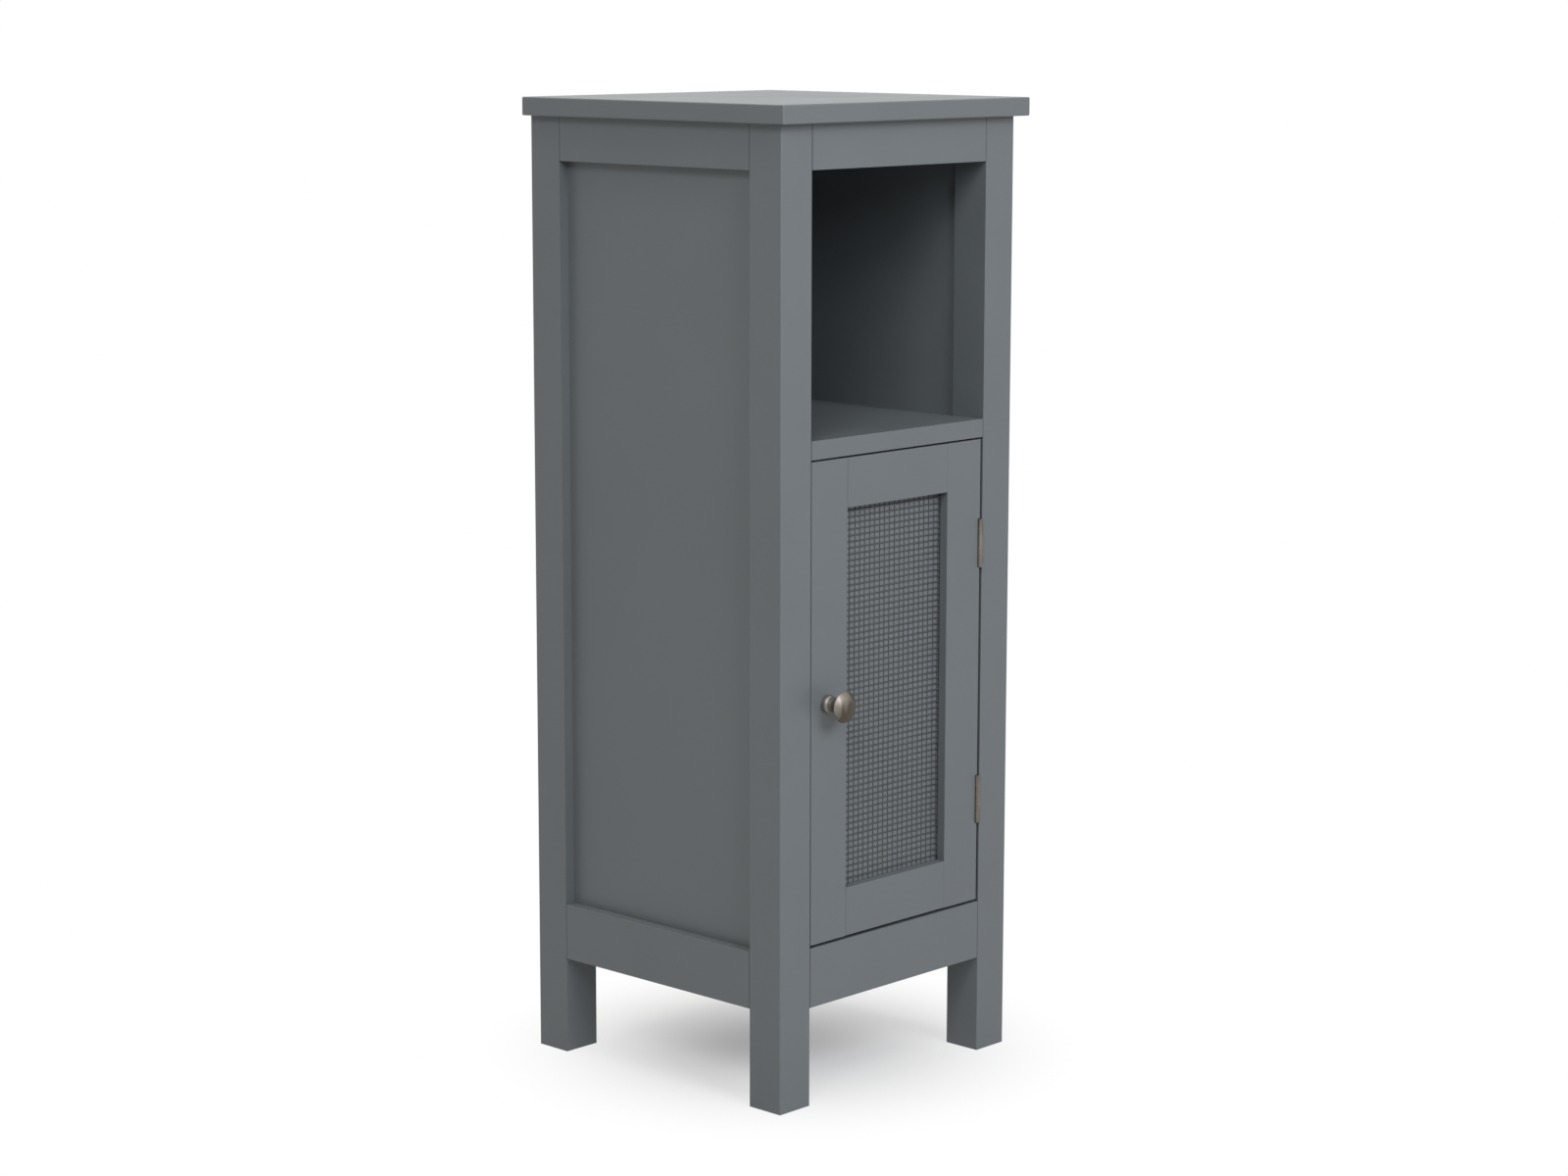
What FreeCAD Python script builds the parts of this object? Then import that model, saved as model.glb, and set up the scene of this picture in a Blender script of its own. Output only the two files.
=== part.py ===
"""A small painted cupboard on four straight legs: an open niche above one inset door with a mesh panel.

Millimetres, +Z up, front towards -Y. The origin is on the floor, under the middle of the object's box.
"""

import FreeCAD, Part
import math
import os

os.makedirs("parts", exist_ok=True)

Vector = FreeCAD.Vector
X_AXIS = Vector(1, 0, 0)
Y_AXIS = Vector(0, 1, 0)
Z_AXIS = Vector(0, 0, 1)
LEFT, RIGHT = -1, 1
AHEAD, BEHIND = -1, 1
NEARLY = 0.01

# Overall
HEIGHT = 955.0
BODY_WIDTH = 330.0
BODY_DEPTH = 336.0
TOP_THICKNESS = 18.0
TOP_SIDE_OVERHANG = 10.0
TOP_FRONT_OVERHANG = 12.0
TOP_BACK_OVERHANG = 2.0
TOP_ARRIS = 1.5

# Posts and rails
POST_WIDTH = 41.0
POST_DEPTH = 40.0
OUTER_ARRIS = 1.2
JOINT_ARRIS = 0.4
TOP_RAIL_HEIGHT = 43.0
FRONT_RAIL_THICKNESS = 22.0
APRON_UNDERSIDE = 97.0
FRONT_APRON_TOP = 155.5
SIDE_APRON_TOP = 153.0

# Side panels, linings and back panel
PANEL_THICKNESS = 12.0
PANEL_SET_BACK = 11.0
PANEL_TONGUE = 6.0
LINING_THICKNESS = 6.0
LINING_SET_BACK = 5.0
LINING_TONGUE = 4.0
GROOVE_END_CLEARANCE = 1.0

# Floors, shelf and cleats
BOARD_THICKNESS = 18.0
NICHE_FLOOR_TOP = 643.0
SHELF_THICKNESS = 15.0
SHELF_TOP = 397.0
SHELF_SIDE_CLEARANCE = 1.0
SHELF_BACK_CLEARANCE = 2.0
SHELF_DOOR_CLEARANCE = 6.0
CLEAT_SIZE = 18.0
CLEAT_END_CLEARANCE = 10.0

# Shelf pins
SHELF_PIN_DIAMETER = 5.0
SHELF_PIN_FROM_POST_FACE = 10.0
SHELF_PIN_BURIED = 10.0
SHELF_PIN_PROUD = 9.0
SHELF_PIN_FLAT = 0.6
SHELF_PIN_COLLAR_DIAMETER = 9.0
SHELF_PIN_COLLAR_THICKNESS = 0.8

# Dowels
DOWEL_DIAMETER = 8.0
DOWEL_BURIED = 18.0
RAIL_DOWEL_SPACING = 18.0
TOP_DOWEL_BURIED = 12.0
TOP_DOWEL_FROM_OPENING = 10.0
TOP_DOWEL_FROM_INNER_FACE = 13.0
FLOOR_DOWEL_DIAMETER = 6.0
FLOOR_DOWEL_BURIED = 15.0
FLOOR_DOWEL_FROM_POST_FACE = 10.0
HOLE_CLEARANCE = 0.05
HOLE_END_CLEARANCE = 0.5

# Wood screws
SCREW_DIAMETER = 3.0
SCREW_HEAD_DIAMETER = 5.6
SCREW_HEAD_HEIGHT = 1.2
HINGE_SCREW_LENGTH = 16.0
CLEAT_SCREW_LENGTH = 34.0
CATCH_SCREW_LENGTH = 22.0
STRIKE_SCREW_LENGTH = 12.0

# Door
DOOR_THICKNESS = 18.0
DOOR_LATCH_GAP = 1.3
DOOR_HINGE_GAP = 3.5
DOOR_TOP_GAP = 1.8
DOOR_BOTTOM_GAP = 3.0
STILE_WIDTH = 49.3
DOOR_RAIL_HEIGHT = 47.7
DOOR_ARRIS = 0.8
TENON_LENGTH = 10.0
TENON_THICKNESS = 6.0
TENON_FROM_FRONT = 5.0
TENON_SHOULDER = 13.0

# Mesh, backing board and the pins that hold them
MESH_RECESS = 9.2
WIRE_DIAMETER = 1.0
REBATE_WIDTH = 10.0
REBATE_CLEARANCE = 0.5
NET_COLUMNS = 11
NET_ROWS = 27
PANEL_PIN_DIAMETER = 1.4
PANEL_PIN_HEAD_DIAMETER = 2.6
PANEL_PIN_HEAD_HEIGHT = 0.8
PANEL_PIN_LENGTH = 12.0
PANEL_PIN_ROWS = 4
PANEL_PIN_COLUMNS = 2

# Hinges
HINGE_LENGTH = 47.0
HINGE_INSET = 103.0
HINGE_KNUCKLES = 5
BARREL_DIAMETER = 5.8
BARREL_PROUD = 0.4
BARREL_FROM_POST = 3.6
BARREL_CLEARANCE = 0.4
KNUCKLE_CLEARANCE = 0.2
LEAF_WIDTH = 16.0
LEAF_THICKNESS = 1.2
HINGE_SCREW_SPACING = 28.0
HINGE_SCREW_FROM_FRONT = 8.0
HINGE_PIN_DIAMETER = 2.2
HINGE_PIN_HEAD_DIAMETER = 4.0
HINGE_PIN_HEAD_HEIGHT = 0.5
HINGE_PIN_FIT = 0.02
HINGE_PIN_RUNNING_FIT = 0.05

# Knob
KNOB_FROM_LATCH_EDGE = 21.7
KNOB_PROJECTION = 29.0
KNOB_HEAD_DIAMETER = 31.5
KNOB_RIM_FROM_DOOR = 22.0
KNOB_RIM_THICKNESS = 0.8
KNOB_FLARE_FROM_DOOR = 15.0
KNOB_FLARE_DIAMETER = 19.8
KNOB_NECK_DIAMETER = 15.4
KNOB_NECK_LENGTH = 0.8
KNOB_FOOT_DIAMETER = 18.2
KNOB_FOOT_BULGE_FROM_DOOR = 2.6
KNOB_FOOT_BASE_DIAMETER = 16.8
KNOB_FOOT_THICKNESS = 6.8
KNOB_SCREW_DIAMETER = 4.0
KNOB_SCREW_ENGAGEMENT = 12.0
KNOB_SCREW_HEAD_DIAMETER = 8.0
KNOB_SCREW_HEAD_HEIGHT = 2.4

# Magnetic catch
CATCH_FROM_LATCH_EDGE = 25.0
CATCH_WIDTH = 44.0
CATCH_DEPTH = 15.0
CATCH_HEIGHT = 13.0
CATCH_SCREW_SPACING = 34.0
MAGNET_WIDTH = 22.0
MAGNET_DEPTH = 11.0
MAGNET_THICKNESS = 4.0
POLE_PLATE_THICKNESS = 1.2
POLE_PLATE_PROUD = 0.8
CATCH_CLEARANCE = 0.4
STRIKE_WIDTH = 28.0
STRIKE_HEIGHT = 14.0
STRIKE_THICKNESS = 1.6
STRIKE_FROM_DOOR_TOP = 1.0

# Places worked out from the sizes above
KNOB_REACH = max(KNOB_PROJECTION, TOP_FRONT_OVERHANG)
FRONT = (KNOB_REACH - BODY_DEPTH - TOP_BACK_OVERHANG) / 2
BACK = FRONT + BODY_DEPTH
SIDE = BODY_WIDTH / 2
POST_TOP = HEIGHT - TOP_THICKNESS
TOP_RAIL_UNDERSIDE = POST_TOP - TOP_RAIL_HEIGHT
HALF_OPENING = SIDE - POST_WIDTH
FRONT_POST_BACK = FRONT + POST_DEPTH
BACK_POST_FRONT = BACK - POST_DEPTH
LINING_FACE = HALF_OPENING + LINING_SET_BACK
SIDE_RAIL_FACE = LINING_FACE + LINING_THICKNESS
SIDE_RAIL_THICKNESS = SIDE - SIDE_RAIL_FACE
PANEL_FACE = SIDE - PANEL_SET_BACK - PANEL_THICKNESS
BACK_PANEL_FACE = BACK - PANEL_SET_BACK - PANEL_THICKNESS
BACK_RAIL_FACE = BACK - SIDE_RAIL_THICKNESS
NICHE_FLOOR_UNDERSIDE = NICHE_FLOOR_TOP - BOARD_THICKNESS
CUPBOARD_FLOOR_UNDERSIDE = FRONT_APRON_TOP - BOARD_THICKNESS

DOOR_BACK = FRONT + DOOR_THICKNESS
DOOR_X = (-HALF_OPENING + DOOR_LATCH_GAP, HALF_OPENING - DOOR_HINGE_GAP)
DOOR_Z = (FRONT_APRON_TOP + DOOR_BOTTOM_GAP, NICHE_FLOOR_UNDERSIDE - DOOR_TOP_GAP)
WINDOW_X = (DOOR_X[0] + STILE_WIDTH, DOOR_X[1] - STILE_WIDTH)
WINDOW_Z = (DOOR_Z[0] + DOOR_RAIL_HEIGHT, DOOR_Z[1] - DOOR_RAIL_HEIGHT)
MESH_FRONT = FRONT + MESH_RECESS
MESH_BACK = MESH_FRONT + 2 * WIRE_DIAMETER

HINGE_X = HALF_OPENING - BARREL_FROM_POST
HINGE_Y = FRONT - BARREL_PROUD
LOWER_HINGE = DOOR_Z[0] + HINGE_INSET
UPPER_HINGE = DOOR_Z[1] - HINGE_INSET
KNOB_X = DOOR_X[0] + KNOB_FROM_LATCH_EDGE
KNOB_Z = (DOOR_Z[0] + DOOR_Z[1]) / 2
CATCH_X = DOOR_X[0] + CATCH_FROM_LATCH_EDGE
STRIKE_BACK = DOOR_BACK + STRIKE_THICKNESS
CATCH_FRONT = STRIKE_BACK + CATCH_CLEARANCE + POLE_PLATE_PROUD
MAGNET_Z = NICHE_FLOOR_UNDERSIDE - CATCH_HEIGHT / 2
STRIKE_Z = DOOR_Z[1] - STRIKE_FROM_DOOR_TOP - STRIKE_HEIGHT / 2


def block(x, y, z):
    """A box between two limits along each axis, given in either order."""
    low = Vector(min(x), min(y), min(z))
    size = Vector(max(x), max(y), max(z)) - low
    return Part.makeBox(size.x, size.y, size.z, low)


def rod(start, direction, diameter, length):
    """A cylinder from a point along a direction."""
    return Part.makeCylinder(diameter / 2, length, start, direction)


def ease(shape, axis, radius, chosen=lambda centre: True):
    """Rounds the edges that run along an axis and whose centre is chosen."""
    edges = []
    for edge in shape.Edges:
        run = edge.Vertexes[-1].Point - edge.Vertexes[0].Point
        if run.cross(axis).Length < NEARLY and chosen(edge.CenterOfMass):
            edges.append(edge)
    return shape.makeFillet(radius, edges)


def cut_each(shape, tools):
    """A shape with several others cut away."""
    for tool in tools:
        shape = shape.cut(tool)
    return shape


def mirrored(shape, side):
    """The shape as made for the left, or mirrored to the right."""
    return shape if side == LEFT else shape.mirror(Vector(0, 0, 0), X_AXIS)


def widened(limits, by):
    """Two limits moved apart at both ends."""
    return (min(limits) - by, max(limits) + by)


def dowel(seam, direction, diameter, buried):
    """A dowel that reaches equally far to both sides of a seam."""
    return rod(seam - direction * buried, direction, diameter, 2 * buried)


def dowel_hole(seam, direction, diameter, buried):
    """The hole for such a dowel, a little wider and deeper."""
    return dowel(seam, direction, diameter + 2 * HOLE_CLEARANCE, buried + HOLE_END_CLEARANCE)


def screw(head, direction, length, clearance=0.0):
    """A countersunk screw whose flat head starts at a point, or its hole where a clearance is given."""
    head_radius = SCREW_HEAD_DIAMETER / 2 + clearance
    shank_radius = SCREW_DIAMETER / 2 + clearance
    cone = Part.makeCone(head_radius, shank_radius, SCREW_HEAD_HEIGHT, head, direction)
    return cone.fuse(rod(head, direction, 2 * shank_radius, length + clearance))


def screw_hole(head, direction, length):
    """The hole for such a screw."""
    return screw(head, direction, length, HOLE_CLEARANCE)


# Where the dowels and screws go

def rail_dowel_seams(x, y, low, high):
    """The two points, one above the other, where the dowels of one rail end cross the seam."""
    middle = (low + high) / 2
    half = RAIL_DOWEL_SPACING / 2
    return [Vector(x, y, middle - half), Vector(x, y, middle + half)]


def left_rail_dowels():
    """Seam and direction of every rail dowel on the left half."""
    side_x = -(SIDE + SIDE_RAIL_FACE) / 2
    front_y = FRONT + FRONT_RAIL_THICKNESS / 2
    back_y = (BACK + BACK_RAIL_FACE) / 2
    top = (TOP_RAIL_UNDERSIDE, POST_TOP)
    side_apron = (APRON_UNDERSIDE, SIDE_APRON_TOP)
    front_apron = (APRON_UNDERSIDE, FRONT_APRON_TOP)
    seams = []
    for low_high in (top, side_apron):
        for post_face in (FRONT_POST_BACK, BACK_POST_FRONT):
            seams += [(seam, Y_AXIS) for seam in rail_dowel_seams(side_x, post_face, *low_high)]
        seams += [(seam, X_AXIS) for seam in rail_dowel_seams(-HALF_OPENING, back_y, *low_high)]
    for low_high in (top, front_apron):
        seams += [(seam, X_AXIS) for seam in rail_dowel_seams(-HALF_OPENING, front_y, *low_high)]
    return seams


def left_top_dowel_seams():
    """Where the top's dowels cross from the left posts into the top."""
    x = -HALF_OPENING - TOP_DOWEL_FROM_OPENING
    front_y = FRONT_POST_BACK - TOP_DOWEL_FROM_INNER_FACE
    back_y = BACK_POST_FRONT + TOP_DOWEL_FROM_INNER_FACE
    return [Vector(x, y, POST_TOP) for y in (front_y, back_y)]


def left_floor_dowel_seams():
    """Where the niche floor's dowels cross from the left posts into the board."""
    z = NICHE_FLOOR_TOP - BOARD_THICKNESS / 2
    front_y = FRONT + POST_DEPTH / 2
    back_y = BACK_POST_FRONT + FLOOR_DOWEL_FROM_POST_FACE
    return [Vector(-HALF_OPENING, y, z) for y in (front_y, back_y)]


def left_dowel_holes():
    """Every dowel hole on the left half."""
    holes = [dowel_hole(seam, way, DOWEL_DIAMETER, DOWEL_BURIED) for seam, way in left_rail_dowels()]
    for seam in left_top_dowel_seams():
        holes.append(dowel_hole(seam, Z_AXIS, DOWEL_DIAMETER, TOP_DOWEL_BURIED))
    for seam in left_floor_dowel_seams():
        holes.append(dowel_hole(seam, X_AXIS, FLOOR_DOWEL_DIAMETER, FLOOR_DOWEL_BURIED))
    return holes


def both_sides(shapes):
    """Shapes made for the left, and their mirror images on the right."""
    return list(shapes) + [mirrored(shape, RIGHT) for shape in shapes]


def cleat_screw_heads():
    """Heads of the screws that hold the left cleat to the side apron."""
    z = CUPBOARD_FLOOR_UNDERSIDE - CLEAT_SIZE / 2
    third = (BACK_POST_FRONT - FRONT_POST_BACK) / 3
    return [Vector(-SIDE_RAIL_FACE + CLEAT_SIZE, FRONT_POST_BACK + step * third, z) for step in (1, 2)]


def hinge_screw_heads(face_x):
    """Heads of the screws on one leaf of both hinges, on the leaf's open face."""
    y = FRONT + HINGE_SCREW_FROM_FRONT
    half = HINGE_SCREW_SPACING / 2
    heads = []
    for centre in (LOWER_HINGE, UPPER_HINGE):
        heads += [Vector(face_x, y, centre - half), Vector(face_x, y, centre + half)]
    return heads


FRAME_LEAF_X = HALF_OPENING - LEAF_THICKNESS
DOOR_LEAF_X = DOOR_X[1] + LEAF_THICKNESS


def frame_hinge_screws(make):
    """Screws, or their holes, from the frame leaves into the right front post."""
    return [make(head, X_AXIS, HINGE_SCREW_LENGTH) for head in hinge_screw_heads(FRAME_LEAF_X)]


def door_hinge_screws(make):
    """Screws, or their holes, from the door leaves into the hinge stile."""
    return [make(head, -X_AXIS, HINGE_SCREW_LENGTH) for head in hinge_screw_heads(DOOR_LEAF_X)]


def catch_screws(make):
    """Screws, or their holes, up through the catch into the niche floor."""
    y = CATCH_FRONT + CATCH_DEPTH / 2
    half = CATCH_SCREW_SPACING / 2
    z = NICHE_FLOOR_UNDERSIDE - CATCH_HEIGHT
    return [make(Vector(CATCH_X + step * half, y, z), Z_AXIS, CATCH_SCREW_LENGTH) for step in (LEFT, RIGHT)]


def strike_screw(make):
    """The screw, or its hole, through the strike plate into the latch stile."""
    head = Vector(CATCH_X, STRIKE_BACK, STRIKE_Z)
    return make(head, -Y_AXIS, STRIKE_SCREW_LENGTH)


def hinge_relief(centre):
    """The round space that a hinge barrel needs in the door's and the post's corner."""
    half = HINGE_LENGTH / 2 + HINGE_PIN_HEAD_HEIGHT + BARREL_CLEARANCE
    start = Vector(HINGE_X, HINGE_Y, centre - half)
    return rod(start, Z_AXIS, BARREL_DIAMETER + 2 * BARREL_CLEARANCE, 2 * half)


def hinge_reliefs():
    """The round spaces for both hinges."""
    return [hinge_relief(centre) for centre in (LOWER_HINGE, UPPER_HINGE)]


# Panels

def side_panel(tongue_gap=0.0):
    """The left side panel with its tongues, or its grooves where a gap is added at the ends."""
    tongue = PANEL_TONGUE + tongue_gap
    x = (-PANEL_FACE - PANEL_THICKNESS, -PANEL_FACE)
    y = widened((FRONT_POST_BACK, BACK_POST_FRONT), tongue)
    z = widened((SIDE_APRON_TOP, TOP_RAIL_UNDERSIDE), tongue)
    return block(x, y, z)


def lining(tongue_gap=0.0):
    """The left inner lining, from the cupboard floor up to the top, or its grooves in the posts."""
    x = (-LINING_FACE - LINING_THICKNESS, -LINING_FACE)
    y = widened((FRONT_POST_BACK, BACK_POST_FRONT), LINING_TONGUE + tongue_gap)
    return block(x, y, (FRONT_APRON_TOP, POST_TOP))


def back_panel(tongue_gap=0.0):
    """The back panel with its tongues, or its grooves where a gap is added at the ends."""
    tongue = PANEL_TONGUE + tongue_gap
    x = widened((-HALF_OPENING, HALF_OPENING), tongue)
    z = widened((SIDE_APRON_TOP, TOP_RAIL_UNDERSIDE), tongue)
    return block(x, (BACK_PANEL_FACE, BACK_PANEL_FACE + PANEL_THICKNESS), z)


# Posts, rails and top

def shelf_pin(end, hole=False):
    """A pin in a left post under the loose shelf, flat on top, or its hole in the post."""
    post_face = FRONT_POST_BACK if end == AHEAD else BACK_POST_FRONT
    y = post_face + end * SHELF_PIN_FROM_POST_FACE
    z = SHELF_TOP - SHELF_THICKNESS + SHELF_PIN_FLAT - SHELF_PIN_DIAMETER / 2
    face = Vector(-HALF_OPENING, y, z)
    if hole:
        depth = SHELF_PIN_BURIED + HOLE_END_CLEARANCE
        return rod(face, -X_AXIS, SHELF_PIN_DIAMETER + 2 * HOLE_CLEARANCE, depth)
    inner_end = face - X_AXIS * SHELF_PIN_BURIED
    pin = rod(inner_end, X_AXIS, SHELF_PIN_DIAMETER, SHELF_PIN_BURIED + SHELF_PIN_PROUD)
    collar = rod(face, X_AXIS, SHELF_PIN_COLLAR_DIAMETER, SHELF_PIN_COLLAR_THICKNESS)
    above = block(
        (-HALF_OPENING, -HALF_OPENING + SHELF_PIN_PROUD),
        widened((y, y), SHELF_PIN_COLLAR_DIAMETER),
        (SHELF_TOP - SHELF_THICKNESS, SHELF_TOP),
    )
    return pin.fuse(collar).cut(above)


def post(side, end):
    """One post: rounded at its outer corner, with grooves and holes for all that joins it."""
    y = (FRONT, FRONT_POST_BACK) if end == AHEAD else (BACK_POST_FRONT, BACK)
    outer_y = FRONT if end == AHEAD else BACK
    body = block((-SIDE, -HALF_OPENING), y, (0, POST_TOP))

    def is_outer(centre):
        return abs(centre.x + SIDE) < OUTER_ARRIS and abs(centre.y - outer_y) < OUTER_ARRIS

    body = ease(body, Z_AXIS, OUTER_ARRIS, is_outer)
    body = ease(body, Z_AXIS, JOINT_ARRIS, lambda centre: centre.x > -SIDE + OUTER_ARRIS)
    tools = [side_panel(GROOVE_END_CLEARANCE), lining(GROOVE_END_CLEARANCE), shelf_pin(end, hole=True)]
    if end == BEHIND:
        tools.append(back_panel(GROOVE_END_CLEARANCE))
    body = mirrored(cut_each(body, tools + left_dowel_holes()), side)
    if side == RIGHT and end == AHEAD:
        body = cut_each(body, hinge_reliefs() + frame_hinge_screws(screw_hole))
    return body


def front_rail(low, high):
    """A rail between the front posts."""
    y = (FRONT, FRONT + FRONT_RAIL_THICKNESS)
    rail = block((-HALF_OPENING, HALF_OPENING), y, (low, high))
    rail = ease(rail, X_AXIS, JOINT_ARRIS, lambda centre: centre.y < FRONT + JOINT_ARRIS)
    return cut_each(rail, both_sides(left_dowel_holes()))


def back_rail(low, high):
    """A rail between the back posts, grooved for the back panel."""
    rail = block((-HALF_OPENING, HALF_OPENING), (BACK_RAIL_FACE, BACK), (low, high))
    rail = ease(rail, X_AXIS, JOINT_ARRIS, lambda centre: centre.y > BACK - JOINT_ARRIS)
    return cut_each(rail, [back_panel(GROOVE_END_CLEARANCE)] + both_sides(left_dowel_holes()))


def side_rail(side, low, high):
    """A rail between the posts of one side, grooved for the side panel."""
    rail = block((-SIDE, -SIDE_RAIL_FACE), (FRONT_POST_BACK, BACK_POST_FRONT), (low, high))
    rail = ease(rail, Y_AXIS, JOINT_ARRIS, lambda centre: centre.x < -SIDE + JOINT_ARRIS)
    tools = [side_panel(GROOVE_END_CLEARANCE)] + left_dowel_holes()
    if low == APRON_UNDERSIDE:
        tools += [screw_hole(head, -X_AXIS, CLEAT_SCREW_LENGTH) for head in cleat_screw_heads()]
    return mirrored(cut_each(rail, tools), side)


def top_panel():
    """The top, rounded on every edge, with blind holes for its dowels."""
    x = widened((-SIDE, SIDE), TOP_SIDE_OVERHANG)
    top = block(x, (FRONT - TOP_FRONT_OVERHANG, BACK + TOP_BACK_OVERHANG), (POST_TOP, HEIGHT))
    top = top.makeFillet(TOP_ARRIS, top.Edges)
    holes = [dowel_hole(seam, Z_AXIS, DOWEL_DIAMETER, TOP_DOWEL_BURIED) for seam in left_top_dowel_seams()]
    return cut_each(top, both_sides(holes))


# Floors, shelf and cleats

def floor_board(front, back, half_width, z):
    """A board between the posts, which is wider behind the front posts and before the back ones."""
    between_posts = block((-HALF_OPENING, HALF_OPENING), (front, back), z)
    middle = block((-half_width, half_width), (FRONT_POST_BACK, BACK_POST_FRONT), z)
    return between_posts.fuse(middle).removeSplitter()


def niche_floor():
    """The niche's floor, level with the posts in front, with the holes of its dowels and of the catch."""
    board = floor_board(FRONT, BACK_PANEL_FACE, LINING_FACE, (NICHE_FLOOR_UNDERSIDE, NICHE_FLOOR_TOP))
    board = ease(board, X_AXIS, JOINT_ARRIS, lambda centre: centre.y < FRONT + JOINT_ARRIS)
    return cut_each(board, both_sides(left_dowel_holes()) + catch_screws(screw_hole))


def cupboard_floor():
    """The cupboard's floor, behind the front apron and between the side aprons."""
    z = (CUPBOARD_FLOOR_UNDERSIDE, FRONT_APRON_TOP)
    return floor_board(FRONT + FRONT_RAIL_THICKNESS, BACK_RAIL_FACE, SIDE_RAIL_FACE, z)


def floor_cleat(side):
    """A batten on a side apron that carries the cupboard's floor."""
    x = (-SIDE_RAIL_FACE, -SIDE_RAIL_FACE + CLEAT_SIZE)
    y = widened((FRONT_POST_BACK, BACK_POST_FRONT), -CLEAT_END_CLEARANCE)
    cleat = block(x, y, (CUPBOARD_FLOOR_UNDERSIDE - CLEAT_SIZE, CUPBOARD_FLOOR_UNDERSIDE))
    holes = [screw_hole(head, -X_AXIS, CLEAT_SCREW_LENGTH) for head in cleat_screw_heads()]
    return mirrored(cut_each(cleat, holes), side)


def loose_shelf():
    """The loose shelf, which rests on its pins between the posts."""
    x = widened((-HALF_OPENING, HALF_OPENING), -SHELF_SIDE_CLEARANCE - SHELF_PIN_COLLAR_THICKNESS)
    front = DOOR_BACK + SHELF_DOOR_CLEARANCE
    y = (front, BACK_PANEL_FACE - SHELF_BACK_CLEARANCE)
    shelf = block(x, y, (SHELF_TOP - SHELF_THICKNESS, SHELF_TOP))
    return ease(shelf, X_AXIS, OUTER_ARRIS, lambda centre: centre.y < front + JOINT_ARRIS)


# Door

def tenon(end_x, side, rail_z, end_gap=0.0):
    """The tenon of a door rail, or its mortise where a gap is added at the end."""
    x = (end_x, end_x + side * (TENON_LENGTH + end_gap))
    y = (FRONT + TENON_FROM_FRONT, FRONT + TENON_FROM_FRONT + TENON_THICKNESS)
    return block(x, y, widened(rail_z, -TENON_SHOULDER))


TOP_RAIL_Z = (WINDOW_Z[1], DOOR_Z[1])
BOTTOM_RAIL_Z = (DOOR_Z[0], WINDOW_Z[0])


def door_rebate():
    """The space cut into the back of the door's frame for the mesh and the backing board."""
    return block(widened(WINDOW_X, REBATE_WIDTH), (MESH_FRONT, DOOR_BACK), widened(WINDOW_Z, REBATE_WIDTH))


def door_stile(side):
    """An upright of the door's frame, with the mortises of the rails and the rebate."""
    outer = DOOR_X[0] if side == LEFT else DOOR_X[1]
    inner = WINDOW_X[0] if side == LEFT else WINDOW_X[1]
    stile = block((outer, inner), (FRONT, DOOR_BACK), DOOR_Z)

    def at_outer_front(centre):
        return abs(centre.x - outer) < JOINT_ARRIS and centre.y < FRONT + JOINT_ARRIS

    def at_inner_front(centre):
        return abs(centre.x - inner) < JOINT_ARRIS and centre.y < FRONT + JOINT_ARRIS

    stile = ease(stile, Z_AXIS, DOOR_ARRIS, at_outer_front)
    stile = ease(stile, Z_AXIS, JOINT_ARRIS, at_inner_front)
    tools = [door_rebate()] + panel_pins(HOLE_CLEARANCE)
    tools += [tenon(inner, side, rail_z, GROOVE_END_CLEARANCE) for rail_z in (TOP_RAIL_Z, BOTTOM_RAIL_Z)]
    if side == RIGHT:
        tools += hinge_reliefs() + door_hinge_screws(screw_hole)
    else:
        tools += [knob_screw(HOLE_CLEARANCE), strike_screw(screw_hole)]
    return cut_each(stile, tools)


def door_rail(rail_z, outer_z):
    """A rail of the door's frame with a tenon at each end."""
    rail = block(WINDOW_X, (FRONT, DOOR_BACK), rail_z)
    rail = ease(
        rail, X_AXIS, DOOR_ARRIS,
        lambda centre: abs(centre.z - outer_z) < JOINT_ARRIS and centre.y < FRONT + JOINT_ARRIS,
    )
    rail = ease(
        rail, X_AXIS, JOINT_ARRIS,
        lambda centre: abs(centre.z - outer_z) > DOOR_ARRIS and centre.y < FRONT + JOINT_ARRIS,
    )
    for end_x, side in zip(WINDOW_X, (LEFT, RIGHT)):
        rail = rail.fuse(tenon(end_x, side, rail_z))
    return cut_each(rail, [door_rebate()] + panel_pins(HOLE_CLEARANCE))


def spread(limits, count):
    """Evenly spaced places inside two limits."""
    step = (limits[1] - limits[0]) / count
    return [limits[0] + step * (number + 0.5) for number in range(count)]


def panel_pin(x, z, clearance):
    """A pin from the door's back through the backing board and the mesh into the frame, or its hole."""
    back = Vector(x, DOOR_BACK, z)
    shank = rod(back, -Y_AXIS, PANEL_PIN_DIAMETER + 2 * clearance, PANEL_PIN_LENGTH + clearance)
    head = rod(back, -Y_AXIS, PANEL_PIN_HEAD_DIAMETER + 2 * clearance, PANEL_PIN_HEAD_HEIGHT + clearance)
    return shank.fuse(head)


def panel_pins(clearance=0.0):
    """All pins round the backing board, or their holes where a clearance is given."""
    edge_x = widened(WINDOW_X, REBATE_WIDTH / 2)
    edge_z = widened(WINDOW_Z, REBATE_WIDTH / 2)
    places = [(x, z) for x in edge_x for z in spread(WINDOW_Z, PANEL_PIN_ROWS)]
    places += [(x, z) for z in edge_z for x in spread(WINDOW_X, PANEL_PIN_COLUMNS)]
    return [panel_pin(x, z, clearance) for x, z in places]


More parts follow.
